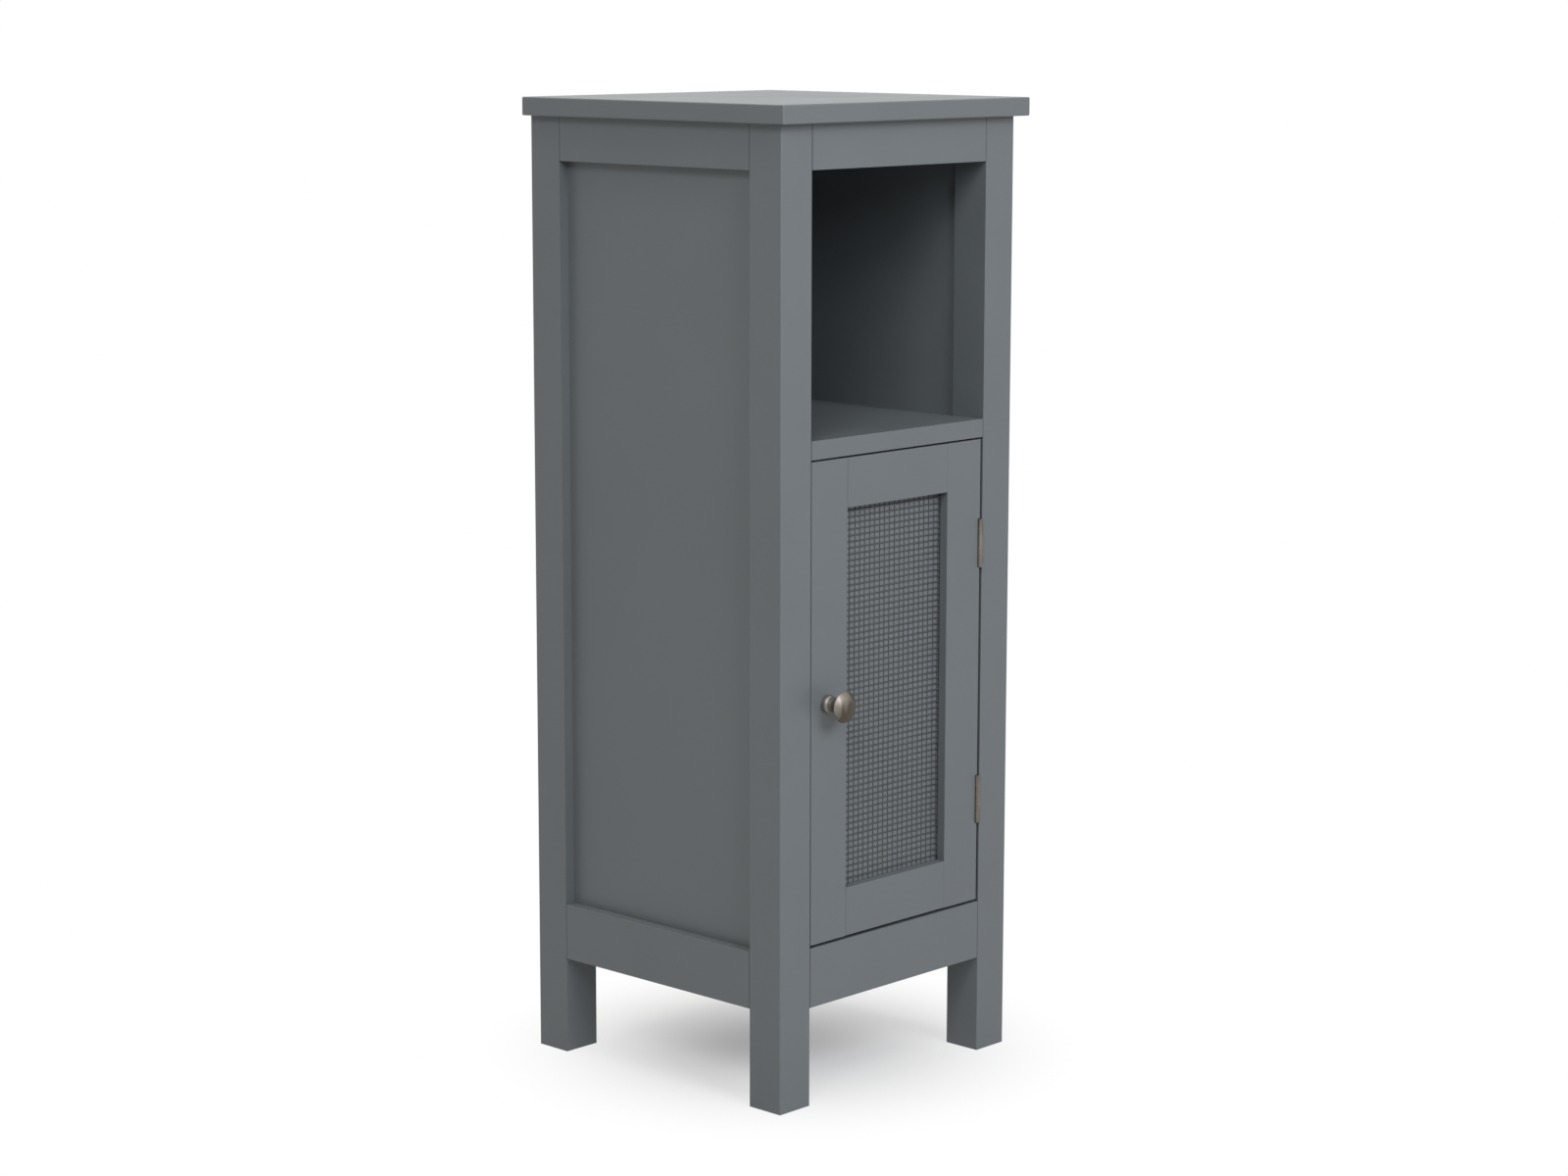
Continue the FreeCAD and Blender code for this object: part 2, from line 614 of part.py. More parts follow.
def mesh_panel():
    """The wire mesh as one sheet with square gaps, coarser than the real one, and a plain edge."""
    margin = REBATE_WIDTH - REBATE_CLEARANCE
    outline = block(widened(WINDOW_X, margin), (MESH_FRONT, MESH_BACK), widened(WINDOW_Z, margin))
    face = min(outline.Faces, key=lambda candidate: candidate.CenterOfMass.y)
    pitch_x = (WINDOW_X[1] - WINDOW_X[0]) / NET_COLUMNS
    pitch_z = (WINDOW_Z[1] - WINDOW_Z[0]) / NET_ROWS
    holes = []
    for x in spread(WINDOW_X, NET_COLUMNS):
        for z in spread(WINDOW_Z, NET_ROWS):
            half_x = (pitch_x - WIRE_DIAMETER) / 2
            half_z = (pitch_z - WIRE_DIAMETER) / 2
            corners = [(-half_x, -half_z), (half_x, -half_z), (half_x, half_z), (-half_x, half_z)]
            corners.append(corners[0])
            holes.append(Part.makePolygon([Vector(x + dx, MESH_FRONT, z + dz) for dx, dz in corners]))
    holed = Part.makeFace([face.OuterWire] + holes, "Part::FaceMakerBullseye")
    return cut_each(holed.extrude(Y_AXIS * (MESH_BACK - MESH_FRONT)), panel_pins(HOLE_CLEARANCE))


def backing_board():
    """The painted board behind the mesh, level with the door's back."""
    margin = REBATE_WIDTH - REBATE_CLEARANCE
    board = block(widened(WINDOW_X, margin), (MESH_BACK, DOOR_BACK), widened(WINDOW_Z, margin))
    return cut_each(board, panel_pins(HOLE_CLEARANCE))


# Hinges

def knuckle_span(centre, number):
    """Lowest and highest point of one knuckle, with half the clearance at each inner end."""
    low = centre - HINGE_LENGTH / 2
    pitch = HINGE_LENGTH / HINGE_KNUCKLES
    start = low + number * pitch + (KNUCKLE_CLEARANCE / 2 if number > 0 else 0)
    end = low + (number + 1) * pitch - (KNUCKLE_CLEARANCE / 2 if number < HINGE_KNUCKLES - 1 else 0)
    return start, end


def barrel_piece(span, diameter):
    """A cylinder on the hinge's axis over a span of heights."""
    return rod(Vector(HINGE_X, HINGE_Y, span[0]), Z_AXIS, diameter, span[1] - span[0])


def hinge_leaf(centre, side):
    """One leaf with its knuckles: the right one lies on the post, the left one on the door's edge."""
    face_x = HALF_OPENING if side == RIGHT else DOOR_X[1]
    height = (centre - HINGE_LENGTH / 2, centre + HINGE_LENGTH / 2)
    leaf = block((face_x, face_x - side * LEAF_THICKNESS), (HINGE_Y, HINGE_Y + LEAF_WIDTH), height)
    own = [number for number in range(HINGE_KNUCKLES) if (number % 2 == 0) == (side == RIGHT)]
    for number in range(HINGE_KNUCKLES):
        span = knuckle_span(centre, number)
        if number in own:
            leaf = leaf.fuse(barrel_piece(span, BARREL_DIAMETER))
        else:
            room = widened(span, KNUCKLE_CLEARANCE)
            leaf = leaf.cut(barrel_piece(room, BARREL_DIAMETER + 2 * BARREL_CLEARANCE))
    fit = HINGE_PIN_FIT if side == RIGHT else HINGE_PIN_RUNNING_FIT
    leaf = leaf.cut(barrel_piece(height, HINGE_PIN_DIAMETER + 2 * fit))
    screws = frame_hinge_screws(screw_hole) if side == RIGHT else door_hinge_screws(screw_hole)
    return cut_each(leaf, screws)


def hinge_pin(centre):
    """The pin through all knuckles, with a low round head at each end."""
    low, high = centre - HINGE_LENGTH / 2, centre + HINGE_LENGTH / 2
    pin = barrel_piece((low - HINGE_PIN_HEAD_HEIGHT, high + HINGE_PIN_HEAD_HEIGHT), HINGE_PIN_DIAMETER)
    pin = pin.fuse(barrel_piece((low - HINGE_PIN_HEAD_HEIGHT, low), HINGE_PIN_HEAD_DIAMETER))
    return pin.fuse(barrel_piece((high, high + HINGE_PIN_HEAD_HEIGHT), HINGE_PIN_HEAD_DIAMETER))


# Knob

def knob_outline():
    """Half of the knob's outline: domed foot, short neck, flared back, rim and domed front."""
    axis = Vector(KNOB_X, FRONT, KNOB_Z)
    neck = KNOB_NECK_DIAMETER / 2
    head = KNOB_HEAD_DIAMETER / 2
    rim_front = KNOB_RIM_FROM_DOOR + KNOB_RIM_THICKNESS
    dome_rise = KNOB_PROJECTION - rim_front
    dome_radius = (head ** 2 + dome_rise ** 2) / (2 * dome_rise)
    dome_middle = KNOB_PROJECTION - dome_radius + math.sqrt(dome_radius ** 2 - (head / 2) ** 2)

    def at(out, radius):
        return axis + Vector(radius, -out, 0)

    foot_edge = at(0, KNOB_FOOT_BASE_DIAMETER / 2)
    foot_bulge = at(KNOB_FOOT_BULGE_FROM_DOOR, KNOB_FOOT_DIAMETER / 2)
    neck_low = at(KNOB_FOOT_THICKNESS, neck)
    neck_high = at(KNOB_FOOT_THICKNESS + KNOB_NECK_LENGTH, neck)
    flare = at(KNOB_FLARE_FROM_DOOR, KNOB_FLARE_DIAMETER / 2)
    rim_back = at(KNOB_RIM_FROM_DOOR, head)
    rim_edge = at(rim_front, head)
    front = at(KNOB_PROJECTION, 0)
    edges = [
        Part.LineSegment(at(0, 0), foot_edge).toShape(),
        Part.Arc(foot_edge, foot_bulge, neck_low).toShape(),
        Part.LineSegment(neck_low, neck_high).toShape(),
        Part.Arc(neck_high, flare, rim_back).toShape(),
        Part.LineSegment(rim_back, rim_edge).toShape(),
        Part.Arc(rim_edge, at(dome_middle, head / 2), front).toShape(),
        Part.LineSegment(front, at(0, 0)).toShape(),
    ]
    return Part.Face(Part.Wire(edges)), axis


def knob():
    """The turned knob, with the blind hole of its screw."""
    outline, axis = knob_outline()
    full_turn = math.degrees(2 * math.pi)
    return outline.revolve(axis, Y_AXIS, full_turn).cut(knob_screw(HOLE_CLEARANCE))


def knob_screw(clearance=0.0):
    """The screw from the door's back into the knob, or its hole where a clearance is given."""
    back = Vector(KNOB_X, DOOR_BACK, KNOB_Z)
    length = DOOR_THICKNESS + KNOB_SCREW_ENGAGEMENT
    shank = rod(back, -Y_AXIS, KNOB_SCREW_DIAMETER + 2 * clearance, length + clearance)
    if clearance:
        return shank
    return shank.fuse(rod(back, Y_AXIS, KNOB_SCREW_HEAD_DIAMETER, KNOB_SCREW_HEAD_HEIGHT))


# Magnetic catch

MAGNET_STACK = MAGNET_THICKNESS + 2 * POLE_PLATE_THICKNESS


def catch_layer(z, proud, depth):
    """A flat piece of the magnet's stack, standing proud of the case by some amount."""
    x = widened((CATCH_X, CATCH_X), MAGNET_WIDTH / 2)
    return block(x, (CATCH_FRONT - proud, CATCH_FRONT + depth), z)


def catch_case():
    """The catch's case under the niche floor, with a pocket for the magnet and its plates."""
    x = widened((CATCH_X, CATCH_X), CATCH_WIDTH / 2)
    y = (CATCH_FRONT, CATCH_FRONT + CATCH_DEPTH)
    case = block(x, y, (NICHE_FLOOR_UNDERSIDE - CATCH_HEIGHT, NICHE_FLOOR_UNDERSIDE))
    case = ease(case, Z_AXIS, OUTER_ARRIS, lambda centre: centre.y < CATCH_FRONT + OUTER_ARRIS)
    pocket = catch_layer(widened((MAGNET_Z, MAGNET_Z), MAGNET_STACK / 2), POLE_PLATE_PROUD, MAGNET_DEPTH)
    return cut_each(case, [pocket] + catch_screws(screw_hole))


def catch_magnet():
    """The flat magnet between the two pole plates."""
    return catch_layer(widened((MAGNET_Z, MAGNET_Z), MAGNET_THICKNESS / 2), 0, MAGNET_DEPTH)


def pole_plates():
    """The two steel plates that carry the pull to the strike plate."""
    inner = MAGNET_THICKNESS / 2
    outer = MAGNET_STACK / 2
    return [
        catch_layer((MAGNET_Z + way * inner, MAGNET_Z + way * outer), POLE_PLATE_PROUD, MAGNET_DEPTH)
        for way in (-1, 1)
    ]


def strike_plate():
    """The steel plate on the door's back that the catch holds."""
    x = widened((CATCH_X, CATCH_X), STRIKE_WIDTH / 2)
    z = widened((STRIKE_Z, STRIKE_Z), STRIKE_HEIGHT / 2)
    plate = block(x, (DOOR_BACK, STRIKE_BACK), z)
    plate = ease(plate, Y_AXIS, OUTER_ARRIS)
    return plate.cut(strike_screw(screw_hole))


# The pieces

rail_dowels = [dowel(seam, way, DOWEL_DIAMETER, DOWEL_BURIED) for seam, way in left_rail_dowels()]
top_dowels = [dowel(seam, Z_AXIS, DOWEL_DIAMETER, TOP_DOWEL_BURIED) for seam in left_top_dowel_seams()]
floor_dowels = [
    dowel(seam, X_AXIS, FLOOR_DOWEL_DIAMETER, FLOOR_DOWEL_BURIED) for seam in left_floor_dowel_seams()
]
cleat_screws = [screw(head, -X_AXIS, CLEAT_SCREW_LENGTH) for head in cleat_screw_heads()]

pieces = {
    "top_panel": top_panel(),
    "front_left_post": post(LEFT, AHEAD),
    "front_right_post": post(RIGHT, AHEAD),
    "back_left_post": post(LEFT, BEHIND),
    "back_right_post": post(RIGHT, BEHIND),
    "front_top_rail": front_rail(TOP_RAIL_UNDERSIDE, POST_TOP),
    "back_top_rail": back_rail(TOP_RAIL_UNDERSIDE, POST_TOP),
    "left_top_rail": side_rail(LEFT, TOP_RAIL_UNDERSIDE, POST_TOP),
    "right_top_rail": side_rail(RIGHT, TOP_RAIL_UNDERSIDE, POST_TOP),
    "front_apron": front_rail(APRON_UNDERSIDE, FRONT_APRON_TOP),
    "back_apron": back_rail(APRON_UNDERSIDE, SIDE_APRON_TOP),
    "left_apron": side_rail(LEFT, APRON_UNDERSIDE, SIDE_APRON_TOP),
    "right_apron": side_rail(RIGHT, APRON_UNDERSIDE, SIDE_APRON_TOP),
    "left_side_panel": side_panel(),
    "right_side_panel": mirrored(side_panel(), RIGHT),
    "left_lining": lining(),
    "right_lining": mirrored(lining(), RIGHT),
    "back_panel": back_panel(),
    "niche_floor": niche_floor(),
    "cupboard_floor": cupboard_floor(),
    "left_floor_cleat": floor_cleat(LEFT),
    "right_floor_cleat": floor_cleat(RIGHT),
    "cleat_screws": both_sides(cleat_screws),
    "loose_shelf": loose_shelf(),
    "shelf_pins": both_sides([shelf_pin(AHEAD), shelf_pin(BEHIND)]),
    "rail_dowels": both_sides(rail_dowels),
    "top_dowels": both_sides(top_dowels),
    "floor_dowels": both_sides(floor_dowels),
    "upper_hinge_frame_leaf": hinge_leaf(UPPER_HINGE, RIGHT),
    "lower_hinge_frame_leaf": hinge_leaf(LOWER_HINGE, RIGHT),
    "upper_hinge_pin": hinge_pin(UPPER_HINGE),
    "lower_hinge_pin": hinge_pin(LOWER_HINGE),
    "frame_hinge_screws": frame_hinge_screws(screw),
    "catch_case": catch_case(),
    "catch_magnet": catch_magnet(),
    "catch_pole_plates": pole_plates(),
    "catch_screws": catch_screws(screw),
    "door_latch_stile": door_stile(LEFT),
    "door_hinge_stile": door_stile(RIGHT),
    "door_top_rail": door_rail(TOP_RAIL_Z, DOOR_Z[1]),
    "door_bottom_rail": door_rail(BOTTOM_RAIL_Z, DOOR_Z[0]),
    "wire_mesh": mesh_panel(),
    "backing_board": backing_board(),
    "backing_pins": panel_pins(),
    "upper_hinge_door_leaf": hinge_leaf(UPPER_HINGE, LEFT),
    "lower_hinge_door_leaf": hinge_leaf(LOWER_HINGE, LEFT),
    "door_hinge_screws": door_hinge_screws(screw),
    "knob": knob(),
    "knob_screw": knob_screw(),
    "strike_plate": strike_plate(),
    "strike_screw": strike_screw(screw),
}

for name, shape in pieces.items():
    solid = Part.makeCompound(shape) if isinstance(shape, list) else shape
    solid.exportStep("parts/" + name + ".step")
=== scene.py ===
"""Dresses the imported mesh-door cupboard: satin paint, wire mesh, aged metal fittings and a plain studio."""

import math
import random

import bmesh
import bpy
from mathutils import Matrix, Vector


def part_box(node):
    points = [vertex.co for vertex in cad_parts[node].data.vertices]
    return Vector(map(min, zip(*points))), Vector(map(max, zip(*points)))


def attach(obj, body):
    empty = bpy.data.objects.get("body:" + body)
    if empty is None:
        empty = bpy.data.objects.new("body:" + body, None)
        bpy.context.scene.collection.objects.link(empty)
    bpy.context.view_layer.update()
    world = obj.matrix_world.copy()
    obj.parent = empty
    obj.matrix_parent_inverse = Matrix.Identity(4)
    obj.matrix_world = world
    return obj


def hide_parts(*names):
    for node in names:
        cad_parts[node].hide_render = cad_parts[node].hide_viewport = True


bl_info = {
    "name": "Mesh-door cupboard",
    "version": (1, 0, 0),
    "blender": (4, 5, 0),
    "location": "View3D > Sidebar > Cupboard",
    "description": "Paints the boards, makes the wire mesh, knob and screws, and sets up the studio",
    "category": "Object",
}

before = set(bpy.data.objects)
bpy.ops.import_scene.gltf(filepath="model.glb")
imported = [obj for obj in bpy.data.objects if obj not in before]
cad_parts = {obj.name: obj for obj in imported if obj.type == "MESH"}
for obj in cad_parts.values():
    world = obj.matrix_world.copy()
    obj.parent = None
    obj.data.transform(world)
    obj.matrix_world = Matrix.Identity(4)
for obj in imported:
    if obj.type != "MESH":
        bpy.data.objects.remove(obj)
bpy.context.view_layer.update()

ALONG_X, ALONG_Y, ALONG_Z = range(3)
X_AXIS = Vector((1, 0, 0))
Y_AXIS = Vector((0, 1, 0))
Z_AXIS = Vector((0, 0, 1))
FULL_TURN = 2 * math.pi
QUARTER_TURN = math.pi / 2
SHARP_ANGLE = math.radians(50)
MERGE_DISTANCE = 1e-6
MM = 0.001
HALF = 0.5
BLACK = (0.0, 0.0, 0.0, 1.0)
WHITE = (1.0, 1.0, 1.0, 1.0)

# Boards by the way their grain runs
BOARDS_ALONG_X = ("top_panel", "cupboard_floor", "loose_shelf")
BOARDS_ALONG_Z = (
    "front_left_post", "front_right_post", "back_left_post", "back_right_post",
    "left_side_panel", "right_side_panel", "left_lining", "right_lining", "back_panel",
    "door_latch_stile", "door_hinge_stile",
)
BACKING = ("backing_board",)

# Boards that end in a joint with two uprights, and those uprights
RAILS_ALONG_X = ("front_top_rail", "back_top_rail", "front_apron", "back_apron", "niche_floor")
RAILS_ALONG_Y = ("left_top_rail", "right_top_rail", "left_apron", "right_apron")
DOOR_RAILS = ("door_top_rail", "door_bottom_rail")
POSTS_ALONG_X = ("front_left_post", "front_right_post")
POSTS_ALONG_Y = ("front_left_post", "back_left_post")
DOOR_STILES = ("door_latch_stile", "door_hinge_stile")

# Other pieces by finish
BEECH_ALONG_X = ("rail_dowels", "floor_dowels")
BEECH_ALONG_Y = ("left_floor_cleat", "right_floor_cleat")
BEECH_ALONG_Z = ("top_dowels",)
STEEL_PIECES = ("shelf_pins", "catch_pole_plates", "backing_pins", "strike_plate")
PLAIN_SCREWS = ("cleat_screws", "knob_screw")
HINGE_PIECES = (
    "upper_hinge_frame_leaf", "lower_hinge_frame_leaf", "upper_hinge_pin", "lower_hinge_pin",
    "upper_hinge_door_leaf", "lower_hinge_door_leaf",
)


# Sizes, colours and studio settings that a user may change

class CupboardFinish(bpy.types.PropertyGroup):
    """Colours of the finishes."""

    paint: bpy.props.FloatVectorProperty(
        name="Paint", description="Satin grey on the boards", subtype="COLOR",
        min=0.0, max=1.0, default=(0.128, 0.142, 0.148),
    )
    wire_paint: bpy.props.FloatVectorProperty(
        name="Wire paint", description="Grey on the wire mesh", subtype="COLOR",
        min=0.0, max=1.0, default=(0.058, 0.058, 0.056),
    )
    pewter: bpy.props.FloatVectorProperty(
        name="Pewter", description="Rubbed metal on the knob and hinges", subtype="COLOR",
        min=0.0, max=1.0, default=(0.44, 0.41, 0.36),
    )
    pewter_dark: bpy.props.FloatVectorProperty(
        name="Dark pewter", description="Aged film in the hollows of the metal", subtype="COLOR",
        min=0.0, max=1.0, default=(0.085, 0.072, 0.056),
    )
    steel: bpy.props.FloatVectorProperty(
        name="Steel", description="Zinc plated screws, pins and plates", subtype="COLOR",
        min=0.0, max=1.0, default=(0.52, 0.53, 0.54),
    )
    beech_light: bpy.props.FloatVectorProperty(
        name="Light beech", description="Early wood of the unpainted timber", subtype="COLOR",
        min=0.0, max=1.0, default=(0.56, 0.39, 0.235),
    )
    beech_dark: bpy.props.FloatVectorProperty(
        name="Dark beech", description="Late wood of the unpainted timber", subtype="COLOR",
        min=0.0, max=1.0, default=(0.36, 0.22, 0.115),
    )
    catch_plastic: bpy.props.FloatVectorProperty(
        name="Catch plastic", description="Moulded case of the catch", subtype="COLOR",
        min=0.0, max=1.0, default=(0.70, 0.68, 0.63),
    )
    ferrite: bpy.props.FloatVectorProperty(
        name="Ferrite", description="Magnet inside the catch", subtype="COLOR",
        min=0.0, max=1.0, default=(0.03, 0.03, 0.032),
    )


class CupboardSizes(bpy.types.PropertyGroup):
    """Sizes of the pieces that are made here."""

    level_wire: bpy.props.FloatProperty(
        name="Level wire", description="Diameter of the mesh's level wires",
        unit="LENGTH", default=0.0015,
    )
    upright_wire: bpy.props.FloatProperty(
        name="Upright wire", description="Diameter of the mesh's upright wires",
        unit="LENGTH", default=0.0007,
    )
    wire_rows: bpy.props.IntProperty(
        name="Level wires", description="Level wires up the mesh panel", default=65,
    )
    wire_columns: bpy.props.IntProperty(
        name="Upright wires", description="Upright wires across the mesh panel", default=23,
    )
    wire_gap: bpy.props.FloatProperty(
        name="Wire gap", description="Gap between the level wires and the backing board",
        unit="LENGTH", default=0.0004,
    )
    wire_wander: bpy.props.FloatProperty(
        name="Wander", description="How far an upright wire strays from even spacing",
        unit="LENGTH", default=0.0004,
    )
    screw_recess: bpy.props.FloatProperty(
        name="Screw recess", description="Width of a screw head's cross recess",
        unit="LENGTH", default=0.0009,
    )
    knob_base: bpy.props.FloatProperty(
        name="Knob base", description="Diameter of the knob where it meets the door",
        unit="LENGTH", default=0.0168,
    )
    knob_foot: bpy.props.FloatVectorProperty(
        name="Knob foot", description="Where the foot bulges most, from the door, and its diameter there",
        size=2, unit="LENGTH", default=(0.0026, 0.0182),
    )
    knob_neck: bpy.props.FloatVectorProperty(
        name="Knob neck", description="Where the neck begins, from the door, and its diameter",
        size=2, unit="LENGTH", default=(0.0068, 0.0154),
    )
    knob_waist: bpy.props.FloatProperty(
        name="Knob waist", description="Length of the knob's neck", unit="LENGTH", default=0.0008,
    )
    knob_flare: bpy.props.FloatVectorProperty(
        name="Knob flare", description="A place on the flared back, from the door, and the diameter there",
        size=2, unit="LENGTH", default=(0.016, 0.0166),
    )
    knob_rim: bpy.props.FloatProperty(
        name="Knob rim", description="Where the rim lies, as a share of the knob's reach", default=0.772,
    )


class StudioSettings(bpy.types.PropertyGroup):
    """The camera, the lamps, the room light and the floor."""

    camera_place: bpy.props.FloatVectorProperty(
        name="Camera place", description="Where the camera stands",
        subtype="TRANSLATION", unit="LENGTH", default=(-2.4825, -2.3484, 1.0538),
    )
    camera_turn: bpy.props.FloatProperty(
        name="Turn", description="The camera's turn about the upright axis",
        subtype="ANGLE", unit="ROTATION", default=math.radians(-46.6232),
    )
    camera_tilt: bpy.props.FloatProperty(
        name="Tilt", description="The camera's tilt above level",
        subtype="ANGLE", unit="ROTATION", default=math.radians(-9.671),
    )
    camera_roll: bpy.props.FloatProperty(
        name="Roll", description="The camera's turn about its own line of sight",
        subtype="ANGLE", unit="ROTATION", default=math.radians(0.0924),
    )
    camera_lens: bpy.props.FloatProperty(
        name="Lens", description="Focal length on a 36 mm sensor", unit="CAMERA", default=80.06,
    )
    key_power: bpy.props.FloatProperty(
        name="Key lamp", description="Power of the wide lamp in front", unit="POWER", default=102.0,
    )
    top_power: bpy.props.FloatProperty(
        name="Overhead lamp", description="Power of the lamp above", unit="POWER", default=51.0,
    )
    fill_power: bpy.props.FloatProperty(
        name="Fill lamp", description="Power of the lamp high on the left", unit="POWER", default=42.5,
    )
    sky_light: bpy.props.FloatProperty(
        name="Room light", description="Even light from all round", default=0.04,
    )
    floor_colour: bpy.props.FloatVectorProperty(
        name="Floor", description="Plain pale floor", subtype="COLOR",
        min=0.0, max=1.0, default=(0.6, 0.6, 0.6),
    )


# Shader helpers

def plug(tree, socket, source):
    """Feeds a socket from another socket, or sets it to a plain value."""
    if isinstance(source, bpy.types.NodeSocket):
        tree.links.new(source, socket)
    else:
        socket.default_value = source


def add_node(tree, kind, inputs=None, **settings):
    """A node with its settings, and its inputs by name or number."""
    node = tree.nodes.new(kind)
    for name, value in settings.items():
        setattr(node, name, value)
    for name, source in (inputs or {}).items():
        plug(tree, node.inputs[name], source)
    return node


def math_node(tree, operation, first, second=0.0, clamp=False):
    """The result of one sum."""
    node = add_node(tree, "ShaderNodeMath", {0: first, 1: second}, operation=operation, use_clamp=clamp)
    return node.outputs[0]


def scaled(tree, value, factor):
    """A value times a factor."""
    return math_node(tree, "MULTIPLY", value, factor)


def ranged(tree, value, from_low, from_high, to_low, to_high, interpolation="LINEAR"):
    """A value moved from one range to another."""
    inputs = {
        "Value": value, "From Min": from_low, "From Max": from_high, "To Min": to_low, "To Max": to_high,
    }
    node = add_node(tree, "ShaderNodeMapRange", inputs, interpolation_type=interpolation)
    return node.outputs["Result"]


def share_of(tree, value, low, high):
    """A value's place in a range, as a share from 0 to 1."""
    return ranged(tree, value, low, high, 0.0, 1.0)


def spread(tree, share, low, high):
    """A share from 0 to 1, moved to a range."""
    return ranged(tree, share, 0.0, 1.0, low, high)


def opaque(colour, tone=1.0):
    """A colour property as a shader colour, in a lighter or darker tone."""
    return (*(min(1.0, channel * tone) for channel in colour), 1.0)


def mixed_colour(tree, factor, first, second):
    """A colour between two others."""
    node = add_node(tree, "ShaderNodeMix", data_type="RGBA")
    colour_inputs = [socket for socket in node.inputs if socket.type == "RGBA"]
    plug(tree, node.inputs[0], factor)
    plug(tree, colour_inputs[0], first)
    plug(tree, colour_inputs[1], second)
    return next(socket for socket in node.outputs if socket.type == "RGBA")


def mixed_tones(tree, factor, colour, first_tone, second_tone):
    """A colour between two tones of itself."""
    return mixed_colour(tree, factor, opaque(colour, first_tone), opaque(colour, second_tone))


def noise(tree, vector, inputs):
    """A noise texture along a vector."""
    return add_node(tree, "ShaderNodeTexNoise", {"Vector": vector, **inputs}).outputs["Fac"]


# Shared effects as node groups

CLOUD_NOISE = {"Detail": 3.0, "Roughness": 0.55}
CLOUD_RANGE = (0.3, 0.7)
PEBBLE_NOISE = {"Detail": 2.0, "Roughness": 0.5}
FIGURE_NOISE = {"Scale": 1.0, "Detail": 4.0, "Roughness": 0.6, "Distortion": 0.4}
FIGURE_RANGE = (0.32, 0.68)
PORE_NOISE = {"Scale": 9.0, "Detail": 2.0, "Roughness": 0.7}
PORE_RANGE = (0.55, 0.75)
EDGE_SAMPLES = 4
EDGE_LIKENESS = (0.995, 0.86)
PATCH_NOISE = {"Scale": 60.0, "Detail": 3.0}
PATCH_RANGE = (0.35, 0.62)
PATCH_SHARES = (0.25, 1.0)


def new_group(name, inputs, outputs):
    """An empty shader node group, with its input and output nodes."""
    group = bpy.data.node_groups.new(name, "ShaderNodeTree")
    for socket_name, kind in inputs.items():
        group.interface.new_socket(name=socket_name, in_out="INPUT", socket_type=kind)
    for socket_name, kind in outputs.items():
        group.interface.new_socket(name=socket_name, in_out="OUTPUT", socket_type=kind)
    return group, group.nodes.new("NodeGroupInput"), group.nodes.new("NodeGroupOutput")


def mottle_group():
    """Soft cloudy unevenness and a fine pebbled surface, as on paint, cast metal and moulded plastic."""
    inputs = {
        "Vector": "NodeSocketVector", "Cloud Scale": "NodeSocketFloat", "Pebble Scale": "NodeSocketFloat",
    }
    outputs = {"Cloud": "NodeSocketFloat", "Pebble": "NodeSocketFloat"}
    group, start, end = new_group("mottle", inputs, outputs)
    vector = start.outputs["Vector"]
    cloud = noise(group, vector, {"Scale": start.outputs["Cloud Scale"], **CLOUD_NOISE})
    pebble = noise(group, vector, {"Scale": start.outputs["Pebble Scale"], **PEBBLE_NOISE})
    plug(group, end.inputs["Cloud"], share_of(group, cloud, *CLOUD_RANGE))
    plug(group, end.inputs["Pebble"], pebble)
    return group


def grain_group():
    """Lines of wood grain along a stretched vector, as a broad figure and as fine pores."""
    inputs = {"Vector": "NodeSocketVector"}
    outputs = {"Figure": "NodeSocketFloat", "Pores": "NodeSocketFloat"}
    group, start, end = new_group("wood_grain", inputs, outputs)
    figure = noise(group, start.outputs["Vector"], FIGURE_NOISE)
    pores = noise(group, start.outputs["Vector"], PORE_NOISE)
    plug(group, end.inputs["Figure"], share_of(group, figure, *FIGURE_RANGE))
    plug(group, end.inputs["Pores"], share_of(group, pores, *PORE_RANGE))
    return group


def rubbed_edge_group():
    """A mask that is 1 on the edges of a piece, broken up as handling breaks it."""
    inputs = {"Vector": "NodeSocketVector", "Width": "NodeSocketFloat"}
    group, start, end = new_group("rubbed_edge", inputs, {"Edge": "NodeSocketFloat"})
    rounded = add_node(group, "ShaderNodeBevel", {"Radius": start.outputs["Width"]}, samples=EDGE_SAMPLES)
    flat = add_node(group, "ShaderNodeNewGeometry")
    normals = {0: rounded.outputs["Normal"], 1: flat.outputs["Normal"]}
    likeness = add_node(group, "ShaderNodeVectorMath", normals, operation="DOT_PRODUCT")
    edge = share_of(group, likeness.outputs["Value"], *EDGE_LIKENESS)
    patches = noise(group, start.outputs["Vector"], PATCH_NOISE)
    broken = ranged(group, patches, *PATCH_RANGE, *PATCH_SHARES)
    plug(group, end.inputs["Edge"], math_node(group, "MULTIPLY", edge, broken, clamp=True))
    return group


GROUP_MAKERS = {"mottle": mottle_group, "wood_grain": grain_group, "rubbed_edge": rubbed_edge_group}


def place_group(tree, name, inputs):
    """A node that uses a node group, made first where it isn't there yet."""
    group = bpy.data.node_groups.get(name) or GROUP_MAKERS[name]()
    return add_node(tree, "ShaderNodeGroup", inputs, node_tree=group)


def mottled(tree, vector, cloud_scale, pebble_scale):
    """The clouds and the pebbles of a mottled surface."""
    inputs = {"Vector": vector, "Cloud Scale": cloud_scale, "Pebble Scale": pebble_scale}
    node = place_group(tree, "mottle", inputs)
    return node.outputs["Cloud"], node.outputs["Pebble"]


